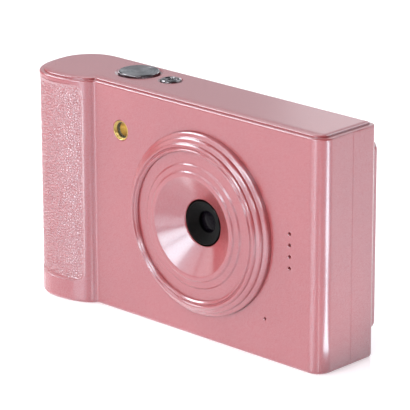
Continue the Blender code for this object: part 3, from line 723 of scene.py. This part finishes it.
def top_plate(paint):
    """Cover plate: a low wall above the rim, then a soft band, wide at the front and narrow at the rear."""
    edge = RIM + SLIT
    wall_top = RIM_Z + 0.22
    loops = [level(COVER_BOTTOM, edge), level(wall_top, edge)]
    for angle in quarter(10)[1:]:
        across = 1 - cos(angle)
        z = wall_top + (HEIGHT - wall_top) * sin(angle)
        loops.append(level(z, edge + 2.7 * across, edge + 1.5 * across, edge + 0.7 * across))
    cuts = bmesh.new()
    dished_well(SHUTTER, SHUTTER_R, 1.1, 128, cuts)
    dished_well(POWER, POWER_R, 0.75, 96, cuts)
    plate = combined(stack(loops), (CUT, cuts))
    piece("top_plate", plate, paint, "pink_paint", stands_for="top_cover")


# ---------------- grip pad

def scatter(x, z, turn_x, turn_z, swing):
    """The same random-looking number from 0 to 1 for each cell, every time."""
    return np.abs(np.sin(x * turn_x + z * turn_z) * swing) % 1.0


def leather_height(x, z):
    """Pebble grain from 0 to 1, from the distance to the nearest and second nearest of scattered points."""
    pitch, steepness, roundness = 0.78, 1.9, 0.55
    cell_x, cell_z = np.floor(x / pitch), np.floor(z / pitch)
    nearest, second = np.full(x.shape, 9.0), np.full(x.shape, 9.0)
    for dx in (-1, 0, 1):
        for dz in (-1, 0, 1):
            cx, cz = cell_x + dx, cell_z + dz
            seed_x = scatter(cx, cz, 12.9898, 78.233, 43758.5453)
            seed_z = scatter(cx, cz, 39.3461, 11.135, 24634.6345)
            gap = np.hypot(cx + seed_x - x / pitch, cz + seed_z - z / pitch)
            second = np.minimum(second, np.maximum(nearest, gap))
            nearest = np.minimum(nearest, gap)
    return np.clip((second - nearest) * steepness, 0.0, 1.0) ** roundness


def pad_places(heights, columns):
    """Rows of places on the grip: x, y, outward direction, and distance from the far left and to the edge."""
    path = [Vector(p) for p in grip_path(0.0, 0.0, 8)]
    lengths = [0.0]
    for a, b in zip(path, path[1:]):
        lengths.append(lengths[-1] + (b - a).length)
    lengths, path = np.array(lengths), np.array(path)
    ends = []
    for z in heights:
        inside = max(PAD_CORNER - min(z - heights[0], heights[-1] - z), 0.0)
        ends.append(lengths[-1] - (PAD_CORNER - sqrt(PAD_CORNER ** 2 - inside ** 2)))
    ends = np.array(ends)[:, None]
    along = np.linspace(0, 1, columns + 1)[None, :] * ends
    x, y = (np.interp(along, lengths, path[:, i]) for i in (0, 1))
    step = 0.05
    tx, ty = (np.interp(along + step, lengths, path[:, i]) - np.interp(along - step, lengths, path[:, i])
              for i in (0, 1))
    size = np.hypot(tx, ty)
    return x, y, ty / size, -tx / size, along, ends - along


def pad_depth(along, beside, heights):
    """How far each place is sunk: flush at the flank, rolled at the rims, and grained between."""
    face, roll_width, roll_depth, flush_width, inner_width = 0.22, 0.3, 0.06, 2.0, 1.2
    grain, plain, fade_width = 0.28, 0.3, 0.8
    across = np.broadcast_to(heights[:, None], along.shape)
    margin = np.minimum(across - heights[0], heights[-1] - across)
    roll = np.clip(margin / roll_width, 0, 1)
    flush = np.clip(beside / flush_width, 0, 1)
    inner = np.clip(margin / inner_width, 0, 1)
    sunk = face * flush ** 2 * (0.3 + 0.7 * inner ** 2) + (1 - np.sqrt(1 - (1 - roll) ** 2)) * roll_depth
    fade = np.clip((np.minimum(margin, beside) - plain) / fade_width, 0, 1)
    return sunk + (1 - leather_height(along, across)) * grain * fade


def grip_leather(paint):
    """The grained pad round the grip: a fine front, a narrow rim and a plain back."""
    columns, rows, back = 230, 400, 0.72
    low, high = corners("grip_pad")
    heights = np.linspace(low.z, high.z, rows + 1)
    x, y, nx, ny, along, beside = pad_places(heights, columns)
    sunk = pad_depth(along, beside, heights)
    mesh = bmesh.new()

    def corner(j, i, depth):
        return mesh.verts.new((x[j, i] - nx[j, i] * depth, y[j, i] - ny[j, i] * depth, heights[j]))

    grid = [[corner(j, i, sunk[j, i]) for i in range(columns + 1)] for j in range(rows + 1)]
    for lower, upper in zip(grid, grid[1:]):
        for i in range(columns):
            mesh.faces.new((lower[i], lower[i + 1], upper[i + 1], upper[i]))
    border = [(0, i) for i in range(columns)] + [(j, columns) for j in range(rows)]
    border += [(rows, i) for i in range(columns, 0, -1)] + [(j, 0) for j in range(rows, 0, -1)]
    rear = {(j, i): corner(j, i, back) for j, i in border}
    for a, b in zip(border, border[1:] + border[:1]):
        mesh.faces.new((grid[a[0]][a[1]], rear[a], rear[b], grid[b[0]][b[1]]))
    for i in range(1, columns):
        mesh.faces.new((rear[0, i], rear[0, i + 1], rear[rows, i + 1], rear[rows, i]))
    mesh.faces.new([rear[0, 0], rear[0, 1], rear[rows, 1]] + [rear[j, 0] for j in range(rows, 0, -1)])
    mesh.faces.new([rear[j, columns] for j in range(rows + 1)])
    piece("grip_leather", mesh, paint, "pink_grip", stands_for="grip_pad", sharp=60, weighted=False)


# ---------------- lens and flash

def lens_front(paint):
    centre = (LENS.x, LENS.z)
    ring = [(25.7, 0.45), (25.7, -1.05), (25.35, -1.4), (24.5, -1.75), (24.4, -2.4), (24.05, -2.75),
            (23.2, -3.1), (23.1, -3.6), (22.7, -4.0), (22.3, -4.05), (21.95, -3.6), (21.8, -3.6),
            (21.45, -4.05), (21.2, -4.05), (20.75, -3.5), (20.75, 0.45)]
    piece("lens_ring_turned", from_front(soften_ring(ring, 0.12), centre, 192), paint, "pink_paint",
          stands_for="lens_ring", sharp=50)
    face = [(20.74, -3.0), (17.55, -3.0), (17.1, -3.45), (15.55, -3.45), (15.1, -3.9), (13.9, -3.9),
            (13.3, -3.5), (10.2, -1.55), (6.75, 0.6), (6.57, 0.9)]
    rear = [(7.4, 0.9), (13.4, -2.3), (20.74, -2.3)]
    piece("lens_funnel", from_front(soften(face, 0.14) + rear, centre, 192), paint, "pink_paint",
          stands_for="lens_cone", sharp=50)


def lens_optics(black, glass):
    """Barrel with fine baffle steps, and the front lens at its bottom."""
    centre = (LENS.x, LENS.z)
    inside = [(6.2, 9.5), (5.0, 9.5), (5.0, 6.1), (3.0, 6.1), (3.0, 5.2), (3.7, 5.2), (3.7, 2.75), (3.1, 2.75),
              (3.1, 2.45)]
    baffles = 13
    first, last, shallow, deep = 3.1, 5.85, 0.72, 2.45
    rise = (shallow - deep) / baffles
    for k in range(baffles):
        t = k / baffles
        radius, depth = first + (last - first) * t, deep + (shallow - deep) * t
        inside += [(radius + 0.10, depth), (radius + 0.12, depth + rise * 0.4), (radius + 0.17, depth + rise)]
    inside += [(6.05, shallow), (6.2, shallow + 0.15)]
    piece("lens_barrel_turned", from_front(inside, centre, 128), black, "black_plastic",
          stands_for="lens_barrel", sharp=35)
    reach, steps = 3.4, 12
    near = [(reach * k / steps, 2.95 + 0.65 * (k / steps) ** 2) for k in range(steps + 1)]
    far = [(reach * k / steps, 4.85 - 0.45 * (k / steps) ** 2) for k in range(steps, -1, -1)]
    piece("front_lens_element", from_front(near + far, centre, 96), glass, "lens_glass",
          stands_for="front_lens", sharp=50)


def flash_front(window, gold, black, led):
    """Clear disc in a stepped gold bezel, a black ring behind it, and a smooth reflector bowl."""
    def ring(name, profile, finish, slot, stands_for=None):
        piece(name, from_front(profile, (FLASH.x, FLASH.z), 96), finish, slot, BODY, stands_for, 35)

    cover = [(0, 0.72)] + [(2.2 * k / 8, 0.72 + 0.1 * (k / 8) ** 2) for k in range(1, 9)]
    ring("flash_cover", cover + [(2.24, 1.05), (0, 1.05)], window, "clear_window", "flash_window")
    bezel = [(2.78, 1.3), (2.78, 0.30), (2.70, 0.18), (2.60, 0.18), (2.52, 0.27), (2.49, 0.60), (2.56, 0.65),
             (2.49, 0.71), (2.40, 0.71), (2.30, 0.80), (2.27, 1.10), (2.27, 1.3)]
    ring("flash_bezel", bezel, gold, "gold_reflector")
    gasket = [(2.75, 1.34), (2.75, 1.95), (2.0, 1.95), (2.08, 1.80), (2.2, 1.75), (2.22, 1.16), (2.25, 1.13),
              (2.25, 1.34)]
    ring("flash_gasket", gasket, black, "black_plastic")
    bowl = [(3.4, 1.98), (3.4, 5.0), (1.1, 5.0), (1.1, 4.4)]
    bowl += [(1.1 + 1.0 * sin(a), 2.0 + 2.4 * cos(a)) for a in quarter(9)[1:]]
    ring("flash_bowl", bowl, gold, "gold_reflector", "flash_reflector")
    refinish(led, "flash_led")


# ---------------- top buttons

def knurled(radius, z0, z1, centre):
    """A band of fine V teeth between two heights."""
    teeth, depth, chamfer = 90, 0.14, 0.12
    loops = []
    for z, inset in ((z0, depth), (z0 + chamfer, 0), (z1 - chamfer, 0), (z1, depth)):
        loop = []
        for k in range(teeth * 4):
            angle = 2 * pi * k / (teeth * 4)
            reach = radius - inset - depth * (0.0, 0.6, 1.0, 0.6)[k % 4]
            loop.append((*polar(centre, reach, angle), z))
        loops.append(loop)
    return stack(loops)


def stem(flange_radius):
    """Start of a top button's profile: its stem and the flange that stops it below the cover."""
    stop = COVER_BOTTOM - GAP
    return [(0, STEM_BOTTOM), (STEM_R, STEM_BOTTOM), (STEM_R, stop - FLANGE), (flange_radius, stop - FLANGE),
            (flange_radius, stop)]


def shutter(chrome, dark):
    radius, top = SHUTTER_R, corners("shutter_button")[1].z
    centre = (SHUTTER.x, SHUTTER.y)
    neck, knurl_bottom = radius - 0.5, 64.3
    core = stem(radius + 1.0) + [(neck, COVER_BOTTOM - GAP), (neck, top - 0.6), (0, top - 0.6)]
    collar = combined(turned(core, centre, "Z", 96), (JOIN, knurled(radius, knurl_bottom, top - 0.32, centre)))
    piece("shutter_collar", collar, dark, "chrome", "shutter_button", "shutter_button", sharp=25)
    cap = [(0, top - 0.7), (radius - 0.6, top - 0.7), (radius - 0.35, top - 0.34), (radius - 0.12, top - 0.3)]
    cap += rounded_edge(radius - 0.12, top - 0.3, 0.3)
    cap += [(radius - 0.75, top - 0.03), (radius - 0.9, top - 0.1), (2.6, top - 0.14), (0, top - 0.16)]
    piece("shutter_cap", turned(cap, centre, "Z", 160), chrome, "chrome", "shutter_button", sharp=30)


def spring_coil(steel):
    """Compression spring under the shutter button."""
    low, high = corners("shutter_spring")
    wire, turns, travel = 0.28, 5, 0.6
    radius = (high.x - low.x) / 2 - wire
    x, y = (low.x + high.x) / 2, (low.y + high.y) / 2
    steps = turns * 28
    loops = []
    for k in range(steps + 1):
        angle = 2 * pi * turns * k / steps
        z = low.z + wire + (high.z - low.z - 2 * wire) * k / steps
        loop = []
        for j in range(10):
            around = 2 * pi * j / 10
            reach = radius + wire * cos(around)
            loop.append((*polar((x, y), reach, angle), z + wire * sin(around)))
        loops.append(loop)
    coil = piece("shutter_spring_coil", stack(loops), steel, "steel", stands_for="shutter_spring", sharp=60,
                 weighted=False)
    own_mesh(coil)


def power_key(chrome, dark):
    """Chrome collar round a dark dished face that carries a raised ring and bar."""
    radius, top = POWER_R, corners("power_button")[1].z
    centre = (POWER.x, POWER.y)
    button = ("chrome", "power_button")
    collar = stem(radius + 0.9) + [
        (radius - 0.05, COVER_BOTTOM - GAP), (radius, top - 0.5), (radius - 0.05, top - 0.25),
        (radius - 0.3, top - 0.05), (radius - 0.6, top - 0.05), (radius - 0.75, top - 0.5), (0, top - 0.5)]
    piece("power_collar", turned(collar, centre, "Z", 96), chrome, *button, "power_button", sharp=28)
    face = [(0, top - 0.6), (radius - 0.8, top - 0.6), (radius - 0.8, top - 0.42), (0, top - 0.34)]
    piece("power_face", turned(face, centre, "Z", 96), dark, *button, sharp=28)
    inner, outer, gap = 0.95, 1.5, radians(35)
    angles = [pi / 2 + gap + (2 * pi - 2 * gap) * k / 36 for k in range(37)]
    sector = [polar(centre, outer, t) for t in angles] + [polar(centre, inner, t) for t in reversed(angles)]
    bar = rectangle(centre[0], centre[1] + 0.925, 0.22, 0.825)
    for name, points in (("power_mark_ring", sector), ("power_mark_bar", bar)):
        rows = [[(x, y, z) for x, y in points] for z in (top - 0.5, top - 0.14)]
        piece(name, stack(rows), chrome, *button, sharp=40)


# ---------------- rear controls

def raised_icon(points, y, mesh=None):
    """Raised flat icon on a key: an outline in X and Z, with a small draft."""
    sunk, rise = 0.25, 0.07
    cx, cz = Vector((sum(p[0] for p in points), sum(p[1] for p in points))) / len(points)
    loops = []
    for at, scale in ((y - sunk, 1.0), (y + rise * 0.6, 1.0), (y + rise, 0.9)):
        loops.append([(cx + (x - cx) * scale, at, cz + (z - cz) * scale) for x, z in points])
    return stack(loops, mesh)


def rectangle(cx, cz, half_x, half_z):
    return [(cx + sx * half_x, cz + sz * half_z) for sx, sz in ((-1, -1), (1, -1), (1, 1), (-1, 1))]


def polygon(cx, cz, radius, sides, turn=0.0):
    return [polar((cx, cz), radius, turn + radians(360 * k / sides)) for k in range(sides)]


def icon_shapes(name, x, z):
    """Generic pictograms. Seen from behind, +X is on the left."""
    if name == "zoom_in_button":
        return [rectangle(x, z, 1.1, 0.2)] + [rectangle(x, z + up, 0.2, 0.44) for up in (0.66, -0.66)]
    if name == "zoom_out_button":
        return [rectangle(x, z, 1.1, 0.2)]
    if name == "mode_button":
        return [rectangle(x, z, 1.15, 0.7), polygon(x, z + 0.95, 0.3, 12)]
    if name == "playback_button":
        return [polygon(x, z, 1.15, 3, pi)]
    if name == "menu_button":
        return [rectangle(x, z + up, 1.05, 0.16) for up in (0.65, 0, -0.65)]
    return [rectangle(x, z - 0.2, 0.6, 0.75), rectangle(x, z + 0.8, 0.85, 0.13)]


def key_foot(reach):
    """Start of a key's profile: the post that presses its dome, and the start of its flange."""
    post, length = 1.0, 1.4
    return [(0, KEY_BASE - length), (post, KEY_BASE - length), (post, KEY_BASE - KEY_FLANGE),
            (reach, KEY_BASE - KEY_FLANGE)]


def round_key(name, grey, pale):
    place = middle(name)
    flange = KEY_R + KEY_FLANGE
    profile = key_foot(flange) + [(flange, KEY_BASE), (KEY_R, KEY_BASE), (KEY_R, KEY_TOP - 0.4)]
    profile += rounded_edge(KEY_R, KEY_TOP - 0.4, 0.35) + [(KEY_R - 1.0, KEY_TOP - 0.02), (0, KEY_TOP)]
    cap = turned(profile, (place.x, place.z), sides=72)
    piece(name + "_cap", cap, grey, "key_plastic", name, name, sharp=30)
    marks = bmesh.new()
    for shape in icon_shapes(name, place.x, place.z):
        raised_icon(shape, KEY_TOP - 0.03, marks)
    piece(name + "_icon", marks, pale, "key_plastic", name, sharp=20)


def ok_key(grey):
    """The middle key, with a dished face."""
    profile = key_foot(OK_R) + [(OK_R, KEY_TOP - 0.4)] + rounded_edge(OK_R, KEY_TOP - 0.4, 0.4)
    profile += [(OK_R - 1.1, KEY_TOP - 0.05), (OK_R - 1.5, KEY_TOP - 0.25), (0, KEY_TOP - 0.35)]
    cap = turned(profile, (OK.x, OK.z), sides=96)
    piece("ok_button_cap", cap, grey, "key_plastic", "ok_button", "ok_button", sharp=30)


def arrow_sector(turn, inner, outer, y, inset):
    """One level of an arrow key: a quarter ring with parallel gaps beside it."""
    steps = 20
    points = []
    for radius, order in ((inner, range(steps + 1)), (outer, range(steps, -1, -1))):
        half = radians(45) - asin((GAP + inset) / radius)
        for k in order:
            angle = radians(turn) - half + 2 * half * k / steps
            x, z = polar((OK.x, OK.z), radius, angle)
            points.append((x, y, z))
    return points


def arrow_key(name, turn, grey, pale):
    levels = [(ARROW_OUT + KEY_FLANGE, KEY_BASE - KEY_FLANGE), (ARROW_OUT + KEY_FLANGE, KEY_BASE),
              (ARROW_OUT, KEY_BASE), (ARROW_OUT, KEY_TOP - 0.4)]
    loops = []
    for reach, y in levels + rounded_edge(ARROW_OUT, KEY_TOP - 0.4, 0.4):
        inset = max(0.0, ARROW_OUT - reach)
        loops.append(arrow_sector(turn, ARROW_IN + inset, reach, y, inset))
    piece(name + "_cap", stack(loops), grey, "key_plastic", name, name, sharp=30)
    angle, reach = radians(turn), 7.6
    arrow = polygon(*polar((OK.x, OK.z), reach, angle), 0.85, 3, angle)
    piece(name + "_icon", raised_icon(arrow, KEY_TOP - 0.02), pale, "key_plastic", name, sharp=20)


def rear_buttons(grey, pale):
    for name in KEYS:
        round_key(name, grey, pale)
    ok_key(grey)
    for name, turn in (("right_button", 0), ("up_button", 90), ("left_button", 180), ("down_button", 270)):
        arrow_key(name, turn, grey, pale)


def display(glass, mask_paint):
    """Glass with rounded edges, and a black mask behind it that frames the panel."""
    low, high = corners("display_window")
    corner, rounding, border = 1.5, 0.2, 1.6
    levels = [(low.y, 0.12), (low.y + 0.12, 0)]
    levels += [(high.y - rounding + rounding * sin(a), rounding * (1 - cos(a))) for a in quarter(4)]
    piece("display_glass", slab(sides_of(low, high), corner, levels), glass, "display_glass",
          stands_for="display_window", sharp=30)
    outer = slab(sides_of(low, high, 0.2), 1.4, [(low.y - 0.12, 0), (low.y - 0.04, 0)])
    hole = slab(sides_of(*corners("display_panel"), border), 0.4, [(low.y - 1, 0), (low.y + 1, 0)])
    piece("display_mask", combined(outer, (CUT, hole)), mask_paint, "black_plastic")


# ---------------- underside and screws

def door(paint):
    """Battery door: a flat leaf with finger ridges, and a knuckle round the hinge pin."""
    knuckle, floor, ceiling = 1.5, 0.15, PIN.z - 0.1
    far, centre = DOOR_HIGH.y, (DOOR_LOW.x + DOOR_HIGH.x) / 2
    section = [(far, floor + 0.3), (far - 0.09, floor + 0.09), (far - 0.3, floor)]
    for k in range(37):
        angle = radians(-90 - 270 * k / 36)
        section.append(polar((PIN.y, PIN.z), knuckle, angle))
    section += [(PIN.y + knuckle, ceiling), (far, ceiling)]
    loops = [[(x, y, z) for y, z in section] for x in (DOOR_LOW.x, DOOR_HIGH.x)]
    ridges = bmesh.new()
    for k in range(5):
        y = far - 1.2 - 0.55 * k
        box((centre - 4, y - 0.12, floor - 1), (centre + 4, y + 0.12, floor + 0.22), ridges)
    leaf = combined(stack(loops), (CUT, pin_hole(1)), (CUT, ridges))
    piece("door_leaf", leaf, paint, "pink_paint", "battery_door", "battery_door", sharp=28)


def screw_heads(steel):
    head, long_half, short_half, depth = REAR - 1.0, 0.95, 0.18, 0.5
    for number, place in enumerate(SCREWS, 1):
        start = corners(f"case_screw_{number}")[0].y
        profile = [(0, start), (0.85, start), (0.85, head - 0.9), (1.6, head - 0.9), (1.6, head - 0.35),
                   (1.45, head - 0.12), (1.1, head), (0, head)]
        slots = []
        for dx, dz in ((long_half, short_half), (short_half, long_half)):
            low, high = (place.x - dx, head - depth, place.z - dz), (place.x + dx, head + 1, place.z + dz)
            slots.append((CUT, box(low, high)))
        mesh = combined(turned(profile, (place.x, place.z), sides=48), *slots)
        piece(f"case_screw_head_{number}", mesh, steel, "steel", stands_for=f"case_screw_{number}", sharp=25)


def tripod_nut(steel):
    """Bush with the ridges of a quarter-inch thread inside."""
    profile = [(0, 7.6), (3.8, 7.6), (3.8, 3.4), (4.9, 3.4), (4.9, 2.1), (3.8, 2.1), (3.8, 0.45), (3.65, 0.3),
               (3.3, 0.3), (3.0, 0.6)]
    pitch, z, end = 1.27, 0.6, 6.6
    while z + pitch < end:
        profile += [(2.6, z + 0.45), (2.6, z + 0.6), (3.05, z + 1.05), (3.05, z + pitch)]
        z += pitch
    profile += [(0, z + 0.4)]
    piece("tripod_nut", turned(profile, (BUSH.x, BUSH.y), "Z", 72), steel, "steel", stands_for="tripod_bush",
          sharp=25)


# ---------------- stage

def toward(azimuth, elevation):
    """Direction away from the object; azimuth is 0 straight in front and 90 on its right side."""
    turn, rise = radians(azimuth), radians(elevation)
    return Vector((sin(turn) * cos(rise), -cos(turn) * cos(rise), sin(rise)))


def camera():
    """The photograph's view: a long lens, level apart from a slight roll."""
    roll, turn = radians(CAMERA_ROLL), radians(CAMERA_TURN)
    back = toward(CAMERA_TURN, CAMERA_RISE)
    right = Vector((cos(turn), sin(turn), 0))
    up = back.cross(right)
    turned_right = right * cos(roll) + up * sin(roll)
    turned_up = up * cos(roll) - right * sin(roll)
    data = bpy.data.cameras.new("photo_camera")
    data.lens, data.sensor_width = CAMERA_LENS, CAMERA_SENSOR
    data.shift_x, data.shift_y = CAMERA_SHIFT
    data.clip_start, data.clip_end = 0.05, 20
    made = show("photo_camera", data)
    rotation = Matrix((turned_right, turned_up, back)).transposed()
    made.matrix_world = Matrix.Translation(CAMERA_PLACE) @ rotation.to_4x4()
    bpy.context.scene.camera = made


def area_light(name, size, watts):
    data = bpy.data.lights.new(name, "AREA")
    data.size = size
    data.energy = watts
    return show(name, data)


def soft_lights():
    """Square soft lights round the camera, each aimed at it."""
    for name, azimuth, elevation, size, watts in LIGHTS:
        made = area_light(name, size, watts)
        away = toward(azimuth, elevation)
        made.location = Vector((0, 0, HEIGHT * MM / 2)) + away * LIGHT_REACH
        made.rotation_euler = (-away).to_track_quat("-Z", "Y").to_euler()


def glint_lights():
    """Narrow strips that lie on the floor and face up, for the bright line down the front right corner."""
    corner, above_floor = Vector(GLINT_CORNER) * MM, 0.001
    outward = toward(GLINT_TURN, 0)
    for name, near, far, width, watts in GLINTS:
        strip = area_light(name, far - near, watts)
        strip.data.shape = "RECTANGLE"
        strip.data.size_y = width
        strip.location = corner + outward * (near + far) / 2 + Vector((0, 0, above_floor))
        strip.rotation_euler = (pi, 0, atan2(outward.y, outward.x))


def pale_surround():
    """A pale world that is brightest behind the object."""
    world = bpy.data.worlds.new("studio")
    bpy.context.scene.world = world
    world.use_nodes = True
    tree = world.node_tree
    facing = add(tree, "VectorMath", operation="DOT_PRODUCT")
    facing.inputs[1].default_value = SURROUND_BRIGHT
    tree.links.new(coordinates(tree, "Generated"), facing.inputs[0])
    strength = spread(tree, facing.outputs["Value"], 0.04, 0.70, 0.45, 0.95)
    feed(tree, tree.nodes["Background"], Color=SURROUND, Strength=strength)


def floor_plane():
    """Pale floor with a faint glow and shine."""
    made, tree, shader = new_material("pale_floor", Roughness=0.06, IOR=1.7, Emission_Color=FLOOR_GLOW,
                                      Emission_Strength=0.34)
    feed(tree, shader, Base_Color=ramp(tree, place_noise(tree, 60.0, 3.0), FLOOR_DARK, FLOOR_LIGHT))
    reach, depth = 3000, 20
    floor = placed("floor", box((-reach, -reach, -depth), (reach, reach, 0)), made)


# ---------------- assembly

def refinish(finish, *names):
    """Give inside pieces, which keep their CAD shape, a better material."""
    for name in names:
        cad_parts[name].data.materials[0] = finish


def outside_pieces(steel, satin_black, lens_glass):
    paint = pearl_paint()
    dark_steel = metal("dark_chrome", (0.22, 0.21, 0.23), 0.22, 1200.0)
    chrome = turned_metal("turned_chrome", CHROME, 0.30)
    front_case(paint)
    rear_case(paint)
    top_plate(paint)
    grip_leather(leather_paint())
    lens_front(paint)
    lens_optics(plastic("lens_black", (0.002, 0.002, 0.002), 0.22, Specular_IOR_Level=0.12), lens_glass)
    flash_front(clear("clear_window", (0.30, 0.25, 0.12), 0.03, 0.06),
                metal("gold_reflector", (0.80, 0.62, 0.24), 0.30, 300.0),
                plastic("black_plastic", (0.012, 0.012, 0.013), 0.32),
                plastic("led_yellow", (0.90, 0.72, 0.10), 0.3))
    shutter(chrome, dark_steel)
    spring_coil(steel)
    power_key(chrome, dark_steel)
    rear_buttons(plastic("key_plastic", (0.42, 0.40, 0.42), 0.32, Metallic=0.5),
                 plastic("icon_white", (0.85, 0.85, 0.86), 0.45))
    display(plastic("display_glass", (0.012, 0.012, 0.014), 0.06, 0.0, Coat_Weight=1.0, Coat_Roughness=0.03),
            satin_black)
    door(paint)
    screw_heads(steel)
    tripod_nut(steel)


def inside_pieces(steel, satin_black, lens_glass):
    refinish(steel, "usb_socket", "shield_can", "microphone", "hinge_pin", "shutter_switch", "power_switch",
             "card_socket", "display_frame")
    refinish(satin_black, "battery_holder", "lens_holder")
    refinish(lens_glass, "rear_lens")
    refinish(circuit_board(), "main_board", "top_board", "keypad_board", "sensor_board", "flash_board")
    refinish(plastic("chip_black", (0.02, 0.02, 0.022), 0.55),
             "processor", "memory_chip", "image_sensor", "speaker", "memory_card")
    refinish(plastic("silicone", (0.25, 0.25, 0.26), 0.65), "keypad_membrane")
    refinish(plastic("battery_wrap", (0.03, 0.06, 0.16), 0.4), "battery")
    refinish(clear("filter_glass", (0.35, 0.62, 0.66), 0.05, 0.5), "infrared_filter")
    refinish(plastic("display_panel", (0.03, 0.034, 0.045), 0.2), "display_panel")


# the lens glass is near-black and mostly opaque: painted shade of the dark inside of the lens, not the colour
# of the glass
shared = (metal("steel", (0.60, 0.60, 0.62), 0.28, 900.0),
          plastic("satin_black", (0.02, 0.02, 0.022), 0.38, 0.05),
          clear("lens_glass", (0.004, 0.003, 0.005), 0.02, 0.85, Coat_IOR=1.1, Specular_IOR_Level=0.05))
outside_pieces(*shared)
inside_pieces(*shared)
floor_plane()
pale_surround()
soft_lights()
glint_lights()
camera()
bpy.context.scene.view_settings.view_transform = "Standard"
